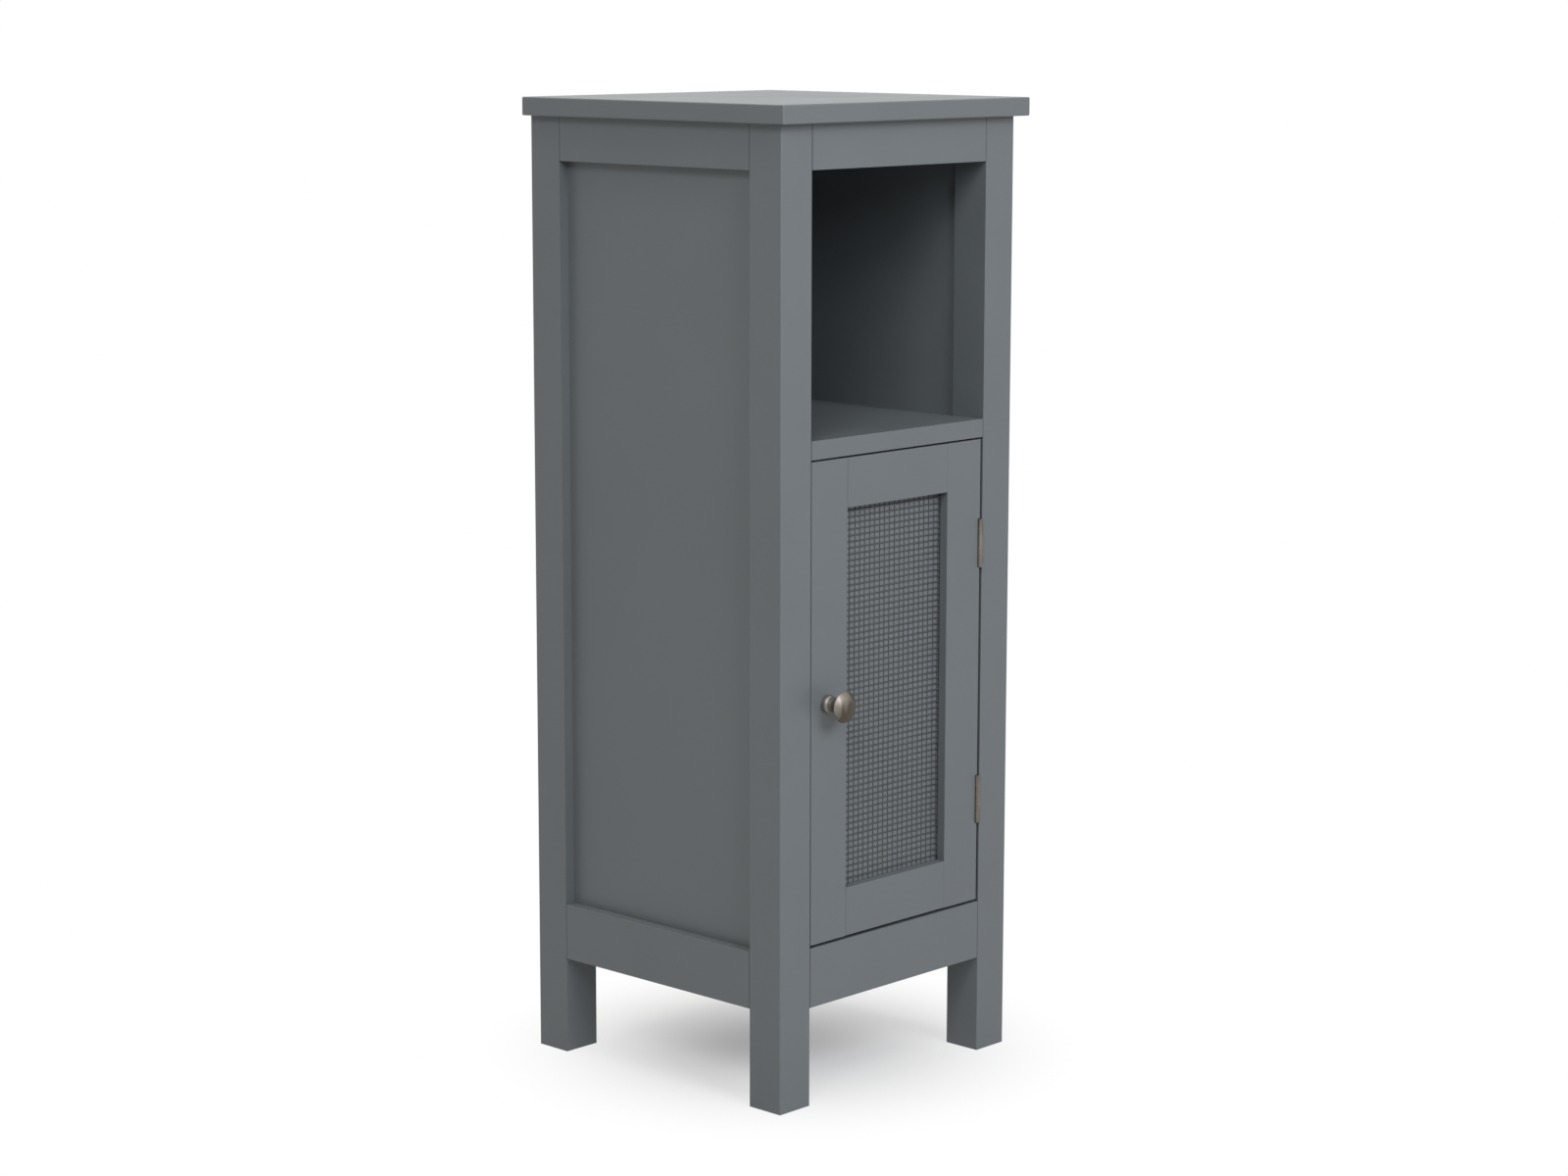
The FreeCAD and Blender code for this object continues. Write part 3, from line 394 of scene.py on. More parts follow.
def stretched(tree, coordinates, axis, across, along):
    """Coordinates with one scale across an axis and another along it."""
    scale = [across, across, across]
    scale[axis] = along
    return add_node(tree, "ShaderNodeMapping", {"Vector": coordinates, "Scale": scale}).outputs["Vector"]


def grained(tree, coordinates, axis, across, along):
    """The figure and the pores of wood whose grain runs along an axis."""
    vector = stretched(tree, coordinates, axis, across, along)
    node = place_group(tree, "wood_grain", {"Vector": vector})
    return node.outputs["Figure"], node.outputs["Pores"]


def rubbed_edge(tree, coordinates, width):
    """The mask of a piece's rubbed edges."""
    return place_group(tree, "rubbed_edge", {"Vector": coordinates, "Width": width}).outputs["Edge"]


def new_material(name):
    """A material with its shader and the Object coordinates."""
    material = bpy.data.materials.new(name)
    material.use_nodes = True
    tree = material.node_tree
    shader = tree.nodes["Principled BSDF"]
    coordinates = tree.nodes.new("ShaderNodeTexCoord").outputs["Object"]
    return material, tree, shader, coordinates


def bump(tree, shader, height, strength, distance):
    """Raises a shader's surface by a height."""
    node = add_node(tree, "ShaderNodeBump", {"Height": height, "Strength": strength, "Distance": distance})
    tree.links.new(node.outputs["Normal"], shader.inputs["Normal"])


# Finishes

# A mottle is its cloud and pebble scales, a grain its scales across and along.
FINE_BUMP = 0.1 * MM
PAINT_MOTTLE = (9.0, 1100.0)
PAINT_GRAIN = (160.0, 7.0)
PAINT_TONES = (0.965, 1.035)
PAINT_PORES = 0.12
PAINT_PORE_TONE = 0.8
PAINT_EDGE_WIDTH = 1.2 * MM
PAINT_RUB = 0.35
PAINT_RUB_TONE = 1.5
PAINT_ROUGHNESS = (0.40, 0.48)
PAINT_RIDGES = 0.5
PAINT_BUMP = 0.12
JOINT_WIDTH = 1.8 * MM
POST_JOINT = 0.8
DOOR_JOINT = 0.2
# The backing board's paint is lighter by this tone, as painted light against the shade the wires cast on it.
BACKING_PAINTED_LIGHT_TONE = 1.2


def joint_line(tree, coordinates, axis, uprights, depth):
    """A fine line of a given depth where a board along an axis meets two uprights."""
    (_, near_high), (far_low, _) = (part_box(upright) for upright in uprights)
    place = add_node(tree, "ShaderNodeSeparateXYZ", {"Vector": coordinates}).outputs[axis]
    from_near = math_node(tree, "ABSOLUTE", math_node(tree, "SUBTRACT", place, near_high[axis]))
    from_far = math_node(tree, "ABSOLUTE", math_node(tree, "SUBTRACT", place, far_low[axis]))
    distance = math_node(tree, "MINIMUM", from_near, from_far)
    return ranged(tree, distance, 0.0, JOINT_WIDTH, depth, 0.0)


def satin_paint(label, axis, uprights=(), depth=0.0, tone=1.0):
    """Sprayed satin paint over grain along an axis, with a line where the board meets any uprights."""
    colour = [channel * tone for channel in bpy.context.scene.cupboard_finish.paint]
    material, tree, shader, coordinates = new_material(f"satin_paint_{label}")
    cloud, pebble = mottled(tree, coordinates, *PAINT_MOTTLE)
    figure, pores = grained(tree, coordinates, axis, *PAINT_GRAIN)
    edge = rubbed_edge(tree, coordinates, PAINT_EDGE_WIDTH)
    surface = mixed_tones(tree, cloud, colour, *PAINT_TONES)
    surface = mixed_colour(tree, scaled(tree, pores, PAINT_PORES), surface, opaque(colour, PAINT_PORE_TONE))
    surface = mixed_colour(tree, scaled(tree, edge, PAINT_RUB), surface, opaque(colour, PAINT_RUB_TONE))
    if uprights:
        line = joint_line(tree, coordinates, axis, uprights, depth)
        surface = mixed_colour(tree, line, surface, BLACK)
    plug(tree, shader.inputs["Base Color"], surface)
    plug(tree, shader.inputs["Roughness"], spread(tree, cloud, *PAINT_ROUGHNESS))
    ridges = scaled(tree, figure, PAINT_RIDGES)
    bump(tree, shader, math_node(tree, "ADD", pebble, ridges), PAINT_BUMP, FINE_BUMP)
    return material


WIRE_MOTTLE = (60.0, 2200.0)
WIRE_TONES = (0.93, 1.07)
WIRE_ROUGHNESS = (0.42, 0.52)
WIRE_BUMP = 0.2


def wire_paint():
    """Satin paint on the mesh wire, a little thicker and softer in places."""
    material, tree, shader, coordinates = new_material("wire_paint")
    cloud, pebble = mottled(tree, coordinates, *WIRE_MOTTLE)
    body = mixed_tones(tree, cloud, bpy.context.scene.cupboard_finish.wire_paint, *WIRE_TONES)
    plug(tree, shader.inputs["Base Color"], body)
    plug(tree, shader.inputs["Roughness"], spread(tree, cloud, *WIRE_ROUGHNESS))
    bump(tree, shader, pebble, WIRE_BUMP, FINE_BUMP)
    return material


PEWTER_STREAKS = (1.0, 0.15)
PEWTER_MOTTLE = (170.0, 1500.0)
PEWTER_EDGE_WIDTH = 0.8 * MM
PEWTER_RUB = 0.35
PEWTER_ROUGHNESS = (0.38, 0.52)
PEWTER_BUMP = 0.1
HINGE_FILM = (0.65, 0.95)


def aged_pewter(name, film_low, film_high, painted_light=None):
    """Plated metal under a film of a given range, rubbed thin on its edges, and thinned by any painted light
    given.
    """
    if name in bpy.data.materials:
        return bpy.data.materials[name]
    finish = bpy.context.scene.cupboard_finish
    material, tree, shader, coordinates = new_material(name)
    streaks = stretched(tree, coordinates, ALONG_Z, *PEWTER_STREAKS)
    cloud, pebble = mottled(tree, streaks, *PEWTER_MOTTLE)
    edge = rubbed_edge(tree, coordinates, PEWTER_EDGE_WIDTH)
    film = spread(tree, cloud, film_low, film_high)
    if painted_light:
        film = math_node(tree, "SUBTRACT", film, painted_light(tree, coordinates))
    film = math_node(tree, "SUBTRACT", film, scaled(tree, edge, PEWTER_RUB), clamp=True)
    body = mixed_colour(tree, film, opaque(finish.pewter), opaque(finish.pewter_dark))
    plug(tree, shader.inputs["Base Color"], body)
    plug(tree, shader.inputs["Roughness"], spread(tree, film, *PEWTER_ROUGHNESS))
    shader.inputs["Metallic"].default_value = 1.0
    bump(tree, shader, pebble, PEWTER_BUMP, FINE_BUMP)
    return material


def hinge_pewter():
    """The hinges' metal, duller than the knob's."""
    return aged_pewter("hinge_pewter", *HINGE_FILM)


STEEL_MOTTLE = (220.0, 1800.0)
STEEL_TONES = (0.72, 1.0)
STEEL_EDGE_WIDTH = 0.5 * MM
STEEL_EDGE_TONE = 1.25
STEEL_ROUGHNESS = (0.42, 0.28)
STEEL_BUMP = 0.08


def zinc_steel():
    """Zinc plated steel with a cloudy bloom."""
    name = "zinc_steel"
    if name in bpy.data.materials:
        return bpy.data.materials[name]
    colour = bpy.context.scene.cupboard_finish.steel
    material, tree, shader, coordinates = new_material(name)
    cloud, pebble = mottled(tree, coordinates, *STEEL_MOTTLE)
    edge = rubbed_edge(tree, coordinates, STEEL_EDGE_WIDTH)
    body = mixed_tones(tree, cloud, colour, *STEEL_TONES)
    surface = mixed_colour(tree, edge, body, opaque(colour, STEEL_EDGE_TONE))
    plug(tree, shader.inputs["Base Color"], surface)
    plug(tree, shader.inputs["Roughness"], spread(tree, cloud, *STEEL_ROUGHNESS))
    shader.inputs["Metallic"].default_value = 1.0
    bump(tree, shader, pebble, STEEL_BUMP, FINE_BUMP)
    return material


BEECH_GRAIN = (240.0, 12.0)
BEECH_MOTTLE = (30.0, 1400.0)
BEECH_FIGURE_TONE = 1.2
BEECH_FLECKS = 0.55
BEECH_ROUGHNESS = (0.6, 0.74)
BEECH_BUMP = 0.25
BEECH_BUMP_HEIGHT = 0.2 * MM


def bare_beech(axis):
    """Unpainted beech with its short flecks, along an axis numbered from 0."""
    finish = bpy.context.scene.cupboard_finish
    material, tree, shader, coordinates = new_material(f"bare_beech_{'xyz'[axis]}")
    figure, pores = grained(tree, coordinates, axis, *BEECH_GRAIN)
    cloud, pebble = mottled(tree, coordinates, *BEECH_MOTTLE)
    late_wood = opaque(finish.beech_dark, BEECH_FIGURE_TONE)
    body = mixed_colour(tree, figure, late_wood, opaque(finish.beech_light))
    flecks = scaled(tree, pores, BEECH_FLECKS)
    plug(tree, shader.inputs["Base Color"], mixed_colour(tree, flecks, body, opaque(finish.beech_dark)))
    plug(tree, shader.inputs["Roughness"], spread(tree, cloud, *BEECH_ROUGHNESS))
    bump(tree, shader, math_node(tree, "SUBTRACT", pebble, pores), BEECH_BUMP, BEECH_BUMP_HEIGHT)
    return material


MOULDED_MOTTLE = (120.0, 2600.0)
MOULDED_TONES = (0.93, 1.04)
MOULDED_EDGE_WIDTH = 0.6 * MM
MOULDED_RUB = 0.3
MOULDED_RUB_TONE = 1.2
MOULDED_BUMP = 0.15
CATCH_ROUGHNESS = (0.45, 0.58)
FERRITE_ROUGHNESS = (0.5, 0.7)


def moulded(name, colour, rough_low, rough_high):
    """A dull moulded surface, as of the catch's plastic case and its magnet."""
    material, tree, shader, coordinates = new_material(name)
    cloud, pebble = mottled(tree, coordinates, *MOULDED_MOTTLE)
    edge = rubbed_edge(tree, coordinates, MOULDED_EDGE_WIDTH)
    body = mixed_tones(tree, cloud, colour, *MOULDED_TONES)
    surface = mixed_colour(tree, scaled(tree, edge, MOULDED_RUB), body, opaque(colour, MOULDED_RUB_TONE))
    plug(tree, shader.inputs["Base Color"], surface)
    plug(tree, shader.inputs["Roughness"], spread(tree, cloud, rough_low, rough_high))
    bump(tree, shader, pebble, MOULDED_BUMP, FINE_BUMP)
    return material


def dress(nodes, material):
    """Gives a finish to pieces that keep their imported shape."""
    for name in nodes:
        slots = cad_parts[name].material_slots
        if not slots:
            raise RuntimeError(f"{name} has no material slot")
        for slot in slots:
            slot.material = material


# Mesh helpers

def make_piece(bm, name, body, material, replaced):
    """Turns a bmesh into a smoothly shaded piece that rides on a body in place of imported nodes."""
    bmesh.ops.remove_doubles(bm, verts=bm.verts, dist=MERGE_DISTANCE)
    bmesh.ops.recalc_face_normals(bm, faces=bm.faces)
    for face in bm.faces:
        face.smooth = True
    mesh = bpy.data.meshes.new(name)
    bm.to_mesh(mesh)
    bm.free()
    mesh.materials.append(material)
    piece = bpy.data.objects.new(name, mesh)
    bpy.context.scene.collection.objects.link(piece)
    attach(piece, body)
    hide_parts(*replaced)
    return piece


def sharpen(piece):
    """Breaks the smooth shading of a piece across its sharp edges."""
    piece.data.set_sharp_from_angle(angle=SHARP_ANGLE)


def solids_of(node):
    """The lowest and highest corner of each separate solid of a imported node."""
    bm = bmesh.new()
    bm.from_mesh(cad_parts[node].data)
    bmesh.ops.remove_doubles(bm, verts=bm.verts, dist=MERGE_DISTANCE)
    left = set(bm.verts)
    boxes = []
    while left:
        reached = [left.pop()]
        for vert in reached:
            for edge in vert.link_edges:
                other = edge.other_vert(vert)
                if other in left:
                    left.remove(other)
                    reached.append(other)
        low = Vector(min(vert.co[axis] for vert in reached) for axis in range(3))
        high = Vector(max(vert.co[axis] for vert in reached) for axis in range(3))
        boxes.append((low, high))
    bm.free()
    return sorted(boxes, key=lambda box: tuple(box[0]))


def side_of(axis):
    """A direction square to an axis."""
    return Z_AXIS if abs(axis.z) < HALF else X_AXIS


def turn(bm, profile, start, axis, steps):
    """Adds a lathe-turned form from (distance along the axis, radius) pairs and returns its faces."""
    side = side_of(axis)
    verts = [bm.verts.new(start + axis * along + side * radius) for along, radius in profile]
    edges = [bm.edges.new(pair) for pair in zip(verts, verts[1:])]
    known = set(bm.faces)
    bmesh.ops.spin(
        bm, geom=verts + edges, cent=start, axis=axis, dvec=(0, 0, 0), angle=FULL_TURN, steps=steps,
        use_merge=True,
    )
    faces = [face for face in bm.faces if face not in known]
    touched = list(dict.fromkeys(vert for face in faces for vert in face.verts))
    bmesh.ops.remove_doubles(bm, verts=touched, dist=MERGE_DISTANCE)
    return [face for face in bm.faces if face not in known]


# Wire mesh

WIRE_SIDES = 10
WANDER_SEED = 7


def straight_wire(bm, start, axis, length, radius):
    """Adds one wire along an axis from the middle of its end."""
    turned = axis.to_track_quat("Z", "Y").to_matrix().to_4x4()
    place = Matrix.Translation(start + axis * (length / 2)) @ turned
    bmesh.ops.create_cone(
        bm, cap_ends=True, segments=WIRE_SIDES, radius1=radius, radius2=radius, depth=length, matrix=place,
    )


def welded_mesh():
    """Level wires across upright ones that lie on the backing board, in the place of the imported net."""
    sizes = bpy.context.scene.cupboard_sizes
    low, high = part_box("wire_mesh")
    width, height = high.x - low.x, high.z - low.z
    pitch_x, pitch_z = width / sizes.wire_columns, height / sizes.wire_rows
    level_radius, upright_radius = sizes.level_wire / 2, sizes.upright_wire / 2
    upright_y = high.y - upright_radius
    level_y = high.y - sizes.wire_gap - level_radius
    wander = random.Random(WANDER_SEED)
    bm = bmesh.new()
    for row in range(sizes.wire_rows):
        start = Vector((low.x, level_y, low.z + pitch_z * (row + HALF)))
        straight_wire(bm, start, X_AXIS, width, level_radius)
    for column in range(sizes.wire_columns):
        stray = wander.uniform(-sizes.wire_wander, sizes.wire_wander)
        start = Vector((low.x + pitch_x * (column + HALF) + stray, upright_y, low.z))
        straight_wire(bm, start, Z_AXIS, height, upright_radius)
    piece = make_piece(bm, "welded_mesh", "door", wire_paint(), ["wire_mesh"])
    sharpen(piece)


# Knob

# The knob's film is painted thinner behind the head, as painted light in the head's shade, and on the upper
# side towards the latch, as a painted highlight.
KNOB_STEPS = 64
ARC_POINTS = 14
RIM_ROUND = 1.2 * MM
RIM_SEGMENTS = 5
RIM_PROFILE = 0.5
KNOB_FILM = (0.88, 1.2)
FOOT_PAINTED_LIGHT = 0.54
FOOT_NEAR, FOOT_FAR = 16.0 * MM, 20.0 * MM
PAINTED_HIGHLIGHT_FILM = 0.3
HIGHLIGHT_TOWARDS = (-0.8, 0.0, 0.6)
HIGHLIGHT_START, HIGHLIGHT_END = -1.0 * MM, 10.0 * MM


def arc_through(first, middle, last):
    """Points along the circle through three points of the plane, from the first to the last."""
    first, middle, last = Vector(first), Vector(middle), Vector(last)
    lean = 2 * (middle - first).cross(last - first)
    to_middle, to_last = (middle - first).length_squared, (last - first).length_squared
    centre = first + Vector((
        (last - first).y * to_middle - (middle - first).y * to_last,
        (middle - first).x * to_last - (last - first).x * to_middle,
    )) / lean
    swept = (first - centre).angle_signed(last - centre)
    spokes = [Matrix.Rotation(-swept * number / ARC_POINTS, 2) for number in range(ARC_POINTS + 1)]
    return [tuple(centre + spoke @ (first - centre)) for spoke in spokes]


def knob_profile(head_radius, reach):
    """(distance from the door, radius) pairs down the knob's outline, and the rim's number among them."""
    sizes = bpy.context.scene.cupboard_sizes
    neck_start, neck = sizes.knob_neck[0], sizes.knob_neck[1] / 2
    flare_start, rim = neck_start + sizes.knob_waist, reach * sizes.knob_rim
    foot = (sizes.knob_foot[0], sizes.knob_foot[1] / 2)
    flare = (sizes.knob_flare[0], sizes.knob_flare[1] / 2)
    profile = [(0.0, 0.0)]
    profile += arc_through((0.0, sizes.knob_base / 2), foot, (neck_start, neck))
    profile += arc_through((flare_start, neck), flare, (rim, head_radius))
    corner = len(profile) - 1
    rise = reach - rim
    dome_radius = (head_radius ** 2 + rise ** 2) / (2 * rise)
    dome_angle = math.asin(head_radius / dome_radius)
    for number in range(1, ARC_POINTS + 1):
        angle = dome_angle * (1 - number / ARC_POINTS)
        profile.append((reach - dome_radius * (1 - math.cos(angle)), dome_radius * math.sin(angle)))
    return profile, corner


def knob_painted_light(tree, coordinates):
    """How much lighter the knob's film is painted: behind the head as painted light in the head's shade, and
    on the upper side towards the latch as a painted highlight.
    """
    low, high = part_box("knob")
    place = add_node(tree, "ShaderNodeSeparateXYZ", {"Vector": coordinates}).outputs["Y"]
    # Painted light: the foot, neck and back of the head, in the head's shade, are painted lighter.
    behind = ranged(tree, place, high.y - FOOT_FAR, high.y - FOOT_NEAR, 0.0, FOOT_PAINTED_LIGHT)
    # Painted highlight: the upper side towards the latch is painted lighter.
    middle = Vector(HIGHLIGHT_TOWARDS).dot((low + high) / 2)
    towards = {0: coordinates, 1: HIGHLIGHT_TOWARDS}
    along = add_node(tree, "ShaderNodeVectorMath", towards, operation="DOT_PRODUCT").outputs["Value"]
    painted_highlight = ranged(tree, along, middle + HIGHLIGHT_START, middle + HIGHLIGHT_END, 0.0, PAINTED_HIGHLIGHT_FILM)
    return math_node(tree, "MAXIMUM", behind, painted_highlight)


def turned_knob():
    """The knob, turned round its axis: a domed foot, a neck, a flared back and a domed front."""
    low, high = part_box("knob")
    reach = high.y - low.y
    head_radius = (high.x - low.x) / 2
    start = Vector(((low.x + high.x) / 2, high.y, (low.z + high.z) / 2))
    profile, corner = knob_profile(head_radius, reach)
    bm = bmesh.new()
    verts = [bm.verts.new((radius, along, 0.0)) for along, radius in profile]
    for pair in zip(verts, verts[1:]):
        bm.edges.new(pair)
    bmesh.ops.bevel(
        bm, geom=[verts[corner]], affect="VERTICES", offset=RIM_ROUND, segments=RIM_SEGMENTS,
        profile=RIM_PROFILE, material=-1,
    )
    bmesh.ops.spin(
        bm, geom=bm.verts[:] + bm.edges[:], cent=(0, 0, 0), axis=Y_AXIS, dvec=(0, 0, 0),
        angle=FULL_TURN, steps=KNOB_STEPS, use_merge=True,
    )
    bmesh.ops.scale(bm, vec=(1, -1, 1), verts=bm.verts)
    bmesh.ops.translate(bm, vec=start, verts=bm.verts)
    pewter = aged_pewter("knob_pewter", *KNOB_FILM, knob_painted_light)
    make_piece(bm, "turned_knob", "door", pewter, ["knob"])


# Screws

# The tip is a share of the length, the recess's depth of the head's height, the rest of the head's radius.
SCREW_STEPS = 20
TIP_SHARE = 0.18
RECESS_DEPTH_SHARE = 0.75
RECESS_ARM_SHARE = 0.62
HEAD_HEIGHT_SHARE = 0.42
SHANK_SHARE = 0.52


def sliced(bm, faces, place, direction):
    """Cuts faces along the plane through a place and returns all their parts."""
    edges = dict.fromkeys(edge for face in faces for edge in face.edges)
    verts = dict.fromkeys(vert for face in faces for vert in face.verts)
    cut = bmesh.ops.bisect_plane(
        bm, geom=[*faces, *edges, *verts], dist=MERGE_DISTANCE, plane_co=place, plane_no=direction,
    )
    return [part for part in cut["geom"] if isinstance(part, bmesh.types.BMFace)]


def screw_form(bm, top, axis, length, head_radius, recess):
    """A countersunk screw from the middle of its head along an axis, with a cross recess in the head."""
    side = side_of(axis)
    other = axis.cross(side)
    arm = head_radius * RECESS_ARM_SHARE
    head_height = head_radius * HEAD_HEIGHT_SHARE
    shank = head_radius * SHANK_SHARE
    tip = length * (1 - TIP_SHARE)
    profile = [(0.0, 0.0), (0.0, head_radius), (head_height, shank), (tip, shank), (length, 0.0)]

    def on_top(face):
        return all(abs((vert.co - top).dot(axis)) < MERGE_DISTANCE for vert in face.verts)

    def in_recess(face):
        place = face.calc_center_median() - top
        first, second = abs(place.dot(side)), abs(place.dot(other))
        return min(first, second) < recess / 2 and max(first, second) < arm

    crown = [face for face in turn(bm, profile, top, axis, SCREW_STEPS) if on_top(face)]
    for reach in (recess / 2, arm):
        for direction in (side, other):
            for distance in (reach, -reach):
                crown = sliced(bm, crown, top + direction * distance, direction)
    sunk = bmesh.ops.extrude_face_region(bm, geom=[face for face in crown if in_recess(face)])
    moved = [part for part in sunk["geom"] if isinstance(part, bmesh.types.BMVert)]
    bmesh.ops.translate(bm, vec=axis * head_height * RECESS_DEPTH_SHARE, verts=moved)
    covers = [face for face in crown if face.is_valid and in_recess(face)]
    bmesh.ops.delete(bm, geom=covers, context="FACES_ONLY")


def cross_screws(name, node, axis, body, material):
    """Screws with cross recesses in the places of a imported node's plain ones, driven along an axis."""
    recess = bpy.context.scene.cupboard_sizes.screw_recess
    bm = bmesh.new()
    for low, high in solids_of(node):
        extent = high - low
        length = abs(extent.dot(axis))
        head_radius = abs(extent.dot(side_of(axis))) / 2
        top = (low + high) / 2 - axis * (length / 2)
        screw_form(bm, top, axis, length, head_radius, recess)
    piece = make_piece(bm, name, body, material, [node])
    sharpen(piece)


# Studio

# The floor goes from a share of white, WHITE_NEAR, under the object to full white at WHITE_TO.
LAMP_AIM = (0.0, 0.0, 0.45)
LAMPS = {
    "key_lamp": {
        "place": (-0.4, -3.25, 2.4), "width": 2.2, "height": 1.6, "colour": (0.905, 0.925, 1.0),
    },
    "fill_lamp": {
        "place": (-2.45, -1.5, 2.5), "width": 1.2, "height": 1.0, "colour": (0.98, 1.0, 1.0),
    },
    "overhead_lamp": {
        "place": (-0.1, 0.5, 3.2), "width": 2.0, "height": 2.0, "colour": (1.0, 0.96, 0.89),
    },
}
FLOOR_RADIUS = 30.0
FLOOR_SEGMENTS = 96
WHITE_FROM, WHITE_TO = 0.0, 0.317
WHITE_NEAR = 0.324


def seen_rays(tree):
    """1 for rays from the camera and for reflected and transmitted ones, else 0."""
    path = add_node(tree, "ShaderNodeLightPath")
    seen = math_node(tree, "MAXIMUM", path.outputs["Is Camera Ray"], path.outputs["Is Glossy Ray"])
    return math_node(tree, "MAXIMUM", seen, path.outputs["Is Transmission Ray"])


def floor_material(colour):
    """A plain pale floor that keeps the shadow near the object and goes to white further off."""
    material, tree, shader, coordinates = new_material("pale_floor")
    tree.nodes.remove(shader)
    matt = add_node(tree, "ShaderNodeBsdfDiffuse", {"Color": opaque(colour)})
    white = add_node(tree, "ShaderNodeEmission", {"Color": WHITE, "Strength": 1.0})
    distance = add_node(tree, "ShaderNodeVectorMath", {0: coordinates}, operation="LENGTH").outputs["Value"]
    far = ranged(tree, distance, WHITE_FROM, WHITE_TO, WHITE_NEAR, 1.0, "SMOOTHSTEP")
    factor = math_node(tree, "MULTIPLY", far, seen_rays(tree))
    mix = add_node(tree, "ShaderNodeMixShader", {0: factor, 1: matt.outputs[0], 2: white.outputs[0]})
    tree.links.new(mix.outputs[0], tree.nodes["Material Output"].inputs["Surface"])
    return material


def make_floor(colour):
    """A wide round floor under the object."""
    bm = bmesh.new()
    bmesh.ops.create_circle(bm, cap_ends=True, segments=FLOOR_SEGMENTS, radius=FLOOR_RADIUS)
    mesh = bpy.data.meshes.new("floor")
    bm.to_mesh(mesh)
    bm.free()
    mesh.materials.append(floor_material(colour))
    floor = bpy.data.objects.new("floor", mesh)
    bpy.context.scene.collection.objects.link(floor)


def make_world(strength):
    """Even room light, and white where the background is seen or reflected."""
    world = bpy.data.worlds.new("studio_room")
    world.use_nodes = True
    tree = world.node_tree
    background = tree.nodes["Background"]
    background.inputs["Color"].default_value = WHITE
    plug(tree, background.inputs["Strength"], spread(tree, seen_rays(tree), strength, 1.0))
    bpy.context.scene.world = world


def make_lamp(name, power, place, width, height, colour):
    """A rectangular soft lamp aimed at the object."""
    light = bpy.data.lights.new(name, "AREA")
    light.shape = "RECTANGLE"
    light.size = width
    light.size_y = height
    light.energy = power
    light.color = colour
    lamp = bpy.data.objects.new(name, light)
    lamp.visible_camera = False
    aim = Vector(LAMP_AIM) - Vector(place)
    lamp.matrix_world = Matrix.Translation(place) @ aim.to_track_quat("-Z", "Y").to_matrix().to_4x4()
    bpy.context.scene.collection.objects.link(lamp)


def make_camera(studio):
    """The camera at the photograph's viewing angle."""
    data = bpy.data.cameras.new("camera")
    data.lens = studio.camera_lens
    data.sensor_fit = "HORIZONTAL"
    data.dof.use_dof = False
    camera = bpy.data.objects.new("camera", data)
    turned = Matrix.Rotation(studio.camera_turn, 4, "Z")
    tilted = Matrix.Rotation(QUARTER_TURN + studio.camera_tilt, 4, "X")
    rolled = Matrix.Rotation(studio.camera_roll, 4, "Z")
    camera.matrix_world = Matrix.Translation(studio.camera_place) @ turned @ tilted @ rolled
    bpy.context.scene.collection.objects.link(camera)
    bpy.context.scene.camera = camera


# Operators

class CUPBOARD_OT_boards(bpy.types.Operator):
    """Paint the posts, rails, panels, floors, shelf and door frame"""

    bl_idname = "cupboard.boards"
    bl_label = "Paint the boards"

    def execute(self, context):
        dress(BOARDS_ALONG_X, satin_paint("along_x", ALONG_X))
        dress(BOARDS_ALONG_Z, satin_paint("along_z", ALONG_Z))
        dress(RAILS_ALONG_X, satin_paint("rails_along_x", ALONG_X, POSTS_ALONG_X, POST_JOINT))
        dress(RAILS_ALONG_Y, satin_paint("rails_along_y", ALONG_Y, POSTS_ALONG_Y, POST_JOINT))
        dress(DOOR_RAILS, satin_paint("door_rails", ALONG_X, DOOR_STILES, DOOR_JOINT))
        # The backing is painted lighter than the boards, as painted light against the wires' shade.
        dress(BACKING, satin_paint("backing", ALONG_Z, tone=BACKING_PAINTED_LIGHT_TONE))
        return {"FINISHED"}


class CUPBOARD_OT_timber(bpy.types.Operator):
    """Give the cleats and dowels their bare beech"""

    bl_idname = "cupboard.timber"
    bl_label = "Finish the bare timber"

    def execute(self, context):
        dress(BEECH_ALONG_X, bare_beech(ALONG_X))
        dress(BEECH_ALONG_Y, bare_beech(ALONG_Y))
        dress(BEECH_ALONG_Z, bare_beech(ALONG_Z))
        return {"FINISHED"}


class CUPBOARD_OT_fittings(bpy.types.Operator):
    """Finish the shelf pins, the backing's pins, the magnetic catch and its plates"""

    bl_idname = "cupboard.fittings"
    bl_label = "Finish the steel fittings and the catch"

    def execute(self, context):
        finish = context.scene.cupboard_finish
        dress(STEEL_PIECES, zinc_steel())
        dress(["catch_case"], moulded("catch_plastic", finish.catch_plastic, *CATCH_ROUGHNESS))
        dress(["catch_magnet"], moulded("ferrite", finish.ferrite, *FERRITE_ROUGHNESS))
        return {"FINISHED"}


class CUPBOARD_OT_mesh(bpy.types.Operator):
    """Make the door's wire mesh"""

    bl_idname = "cupboard.mesh"
    bl_label = "Make the wire mesh"

    def execute(self, context):
        welded_mesh()
        return {"FINISHED"}


class CUPBOARD_OT_knob(bpy.types.Operator):
    """Turn the door's knob"""

    bl_idname = "cupboard.knob"
    bl_label = "Turn the knob"

    def execute(self, context):
        turned_knob()
        return {"FINISHED"}


class CUPBOARD_OT_hinges(bpy.types.Operator):
    """Finish the butt hinges"""

    bl_idname = "cupboard.hinges"
    bl_label = "Finish the hinges"

    def execute(self, context):
        dress(HINGE_PIECES, hinge_pewter())
        return {"FINISHED"}


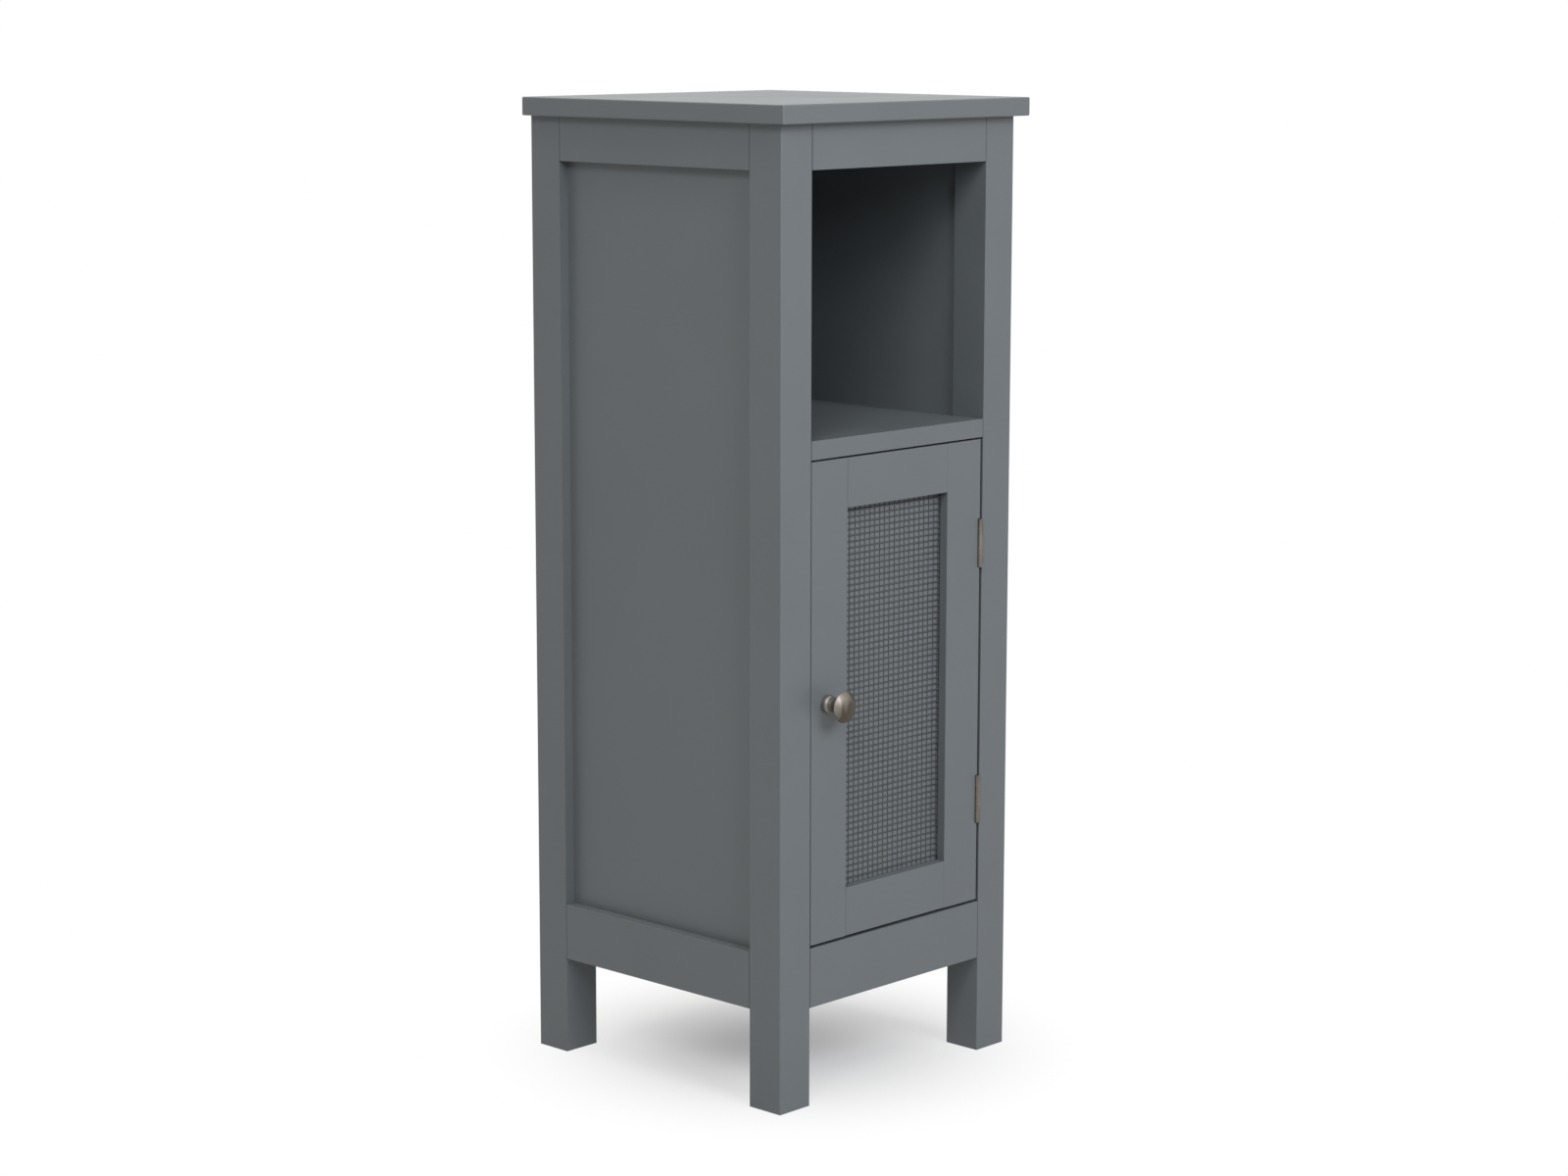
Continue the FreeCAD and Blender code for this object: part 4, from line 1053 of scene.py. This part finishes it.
class CUPBOARD_OT_screws(bpy.types.Operator):
    """Make the screws of the hinges, catch and strike plate, and finish those of the cleats and knob"""

    bl_idname = "cupboard.screws"
    bl_label = "Make the screws"

    def execute(self, context):
        pewter = hinge_pewter()
        steel = zinc_steel()
        cross_screws("frame_leaf_screws", "frame_hinge_screws", X_AXIS, "cabinet", pewter)
        cross_screws("door_leaf_screws", "door_hinge_screws", -X_AXIS, "door", pewter)
        cross_screws("catch_cross_screws", "catch_screws", Z_AXIS, "cabinet", steel)
        cross_screws("strike_cross_screw", "strike_screw", -Y_AXIS, "door", steel)
        dress(PLAIN_SCREWS, steel)
        return {"FINISHED"}


class CUPBOARD_OT_studio(bpy.types.Operator):
    """Set up the floor, the lamps, the room light and the camera"""

    bl_idname = "cupboard.studio"
    bl_label = "Set up the studio"

    def execute(self, context):
        studio = context.scene.cupboard_studio
        context.scene.view_settings.view_transform = "Standard"
        make_camera(studio)
        make_floor(studio.floor_colour)
        make_world(studio.sky_light)
        make_lamp("key_lamp", studio.key_power, **LAMPS["key_lamp"])
        make_lamp("fill_lamp", studio.fill_power, **LAMPS["fill_lamp"])
        make_lamp("overhead_lamp", studio.top_power, **LAMPS["overhead_lamp"])
        return {"FINISHED"}


class CUPBOARD_PT_sidebar(bpy.types.Panel):
    """The cupboard's settings and steps"""

    bl_label = "Mesh-door cupboard"
    bl_idname = "CUPBOARD_PT_sidebar"
    bl_space_type = "VIEW_3D"
    bl_region_type = "UI"
    bl_category = "Cupboard"

    def draw(self, context):
        scene = context.scene
        for settings in (scene.cupboard_finish, scene.cupboard_sizes, scene.cupboard_studio):
            column = self.layout.column()
            for name in settings.__annotations__:
                column.prop(settings, name)
        for operator in OPERATORS:
            self.layout.operator(operator.bl_idname)


OPERATORS = (
    CUPBOARD_OT_studio, CUPBOARD_OT_boards, CUPBOARD_OT_timber, CUPBOARD_OT_fittings, CUPBOARD_OT_mesh,
    CUPBOARD_OT_knob, CUPBOARD_OT_hinges, CUPBOARD_OT_screws,
)
CLASSES = (CupboardFinish, CupboardSizes, StudioSettings, *OPERATORS, CUPBOARD_PT_sidebar)


def register():
    """Adds the classes, and their settings to the scene."""
    for item in CLASSES:
        bpy.utils.register_class(item)
    bpy.types.Scene.cupboard_finish = bpy.props.PointerProperty(type=CupboardFinish)
    bpy.types.Scene.cupboard_sizes = bpy.props.PointerProperty(type=CupboardSizes)
    bpy.types.Scene.cupboard_studio = bpy.props.PointerProperty(type=StudioSettings)


def unregister():
    """Takes away what register adds."""
    del bpy.types.Scene.cupboard_studio
    del bpy.types.Scene.cupboard_sizes
    del bpy.types.Scene.cupboard_finish
    for item in reversed(CLASSES):
        bpy.utils.unregister_class(item)


def main():
    """Runs every step."""
    register()
    for operator in (
        bpy.ops.cupboard.studio, bpy.ops.cupboard.boards, bpy.ops.cupboard.timber,
        bpy.ops.cupboard.fittings, bpy.ops.cupboard.mesh, bpy.ops.cupboard.knob,
        bpy.ops.cupboard.hinges, bpy.ops.cupboard.screws,
    ):
        operator()


if __name__ == "__main__":
    main()
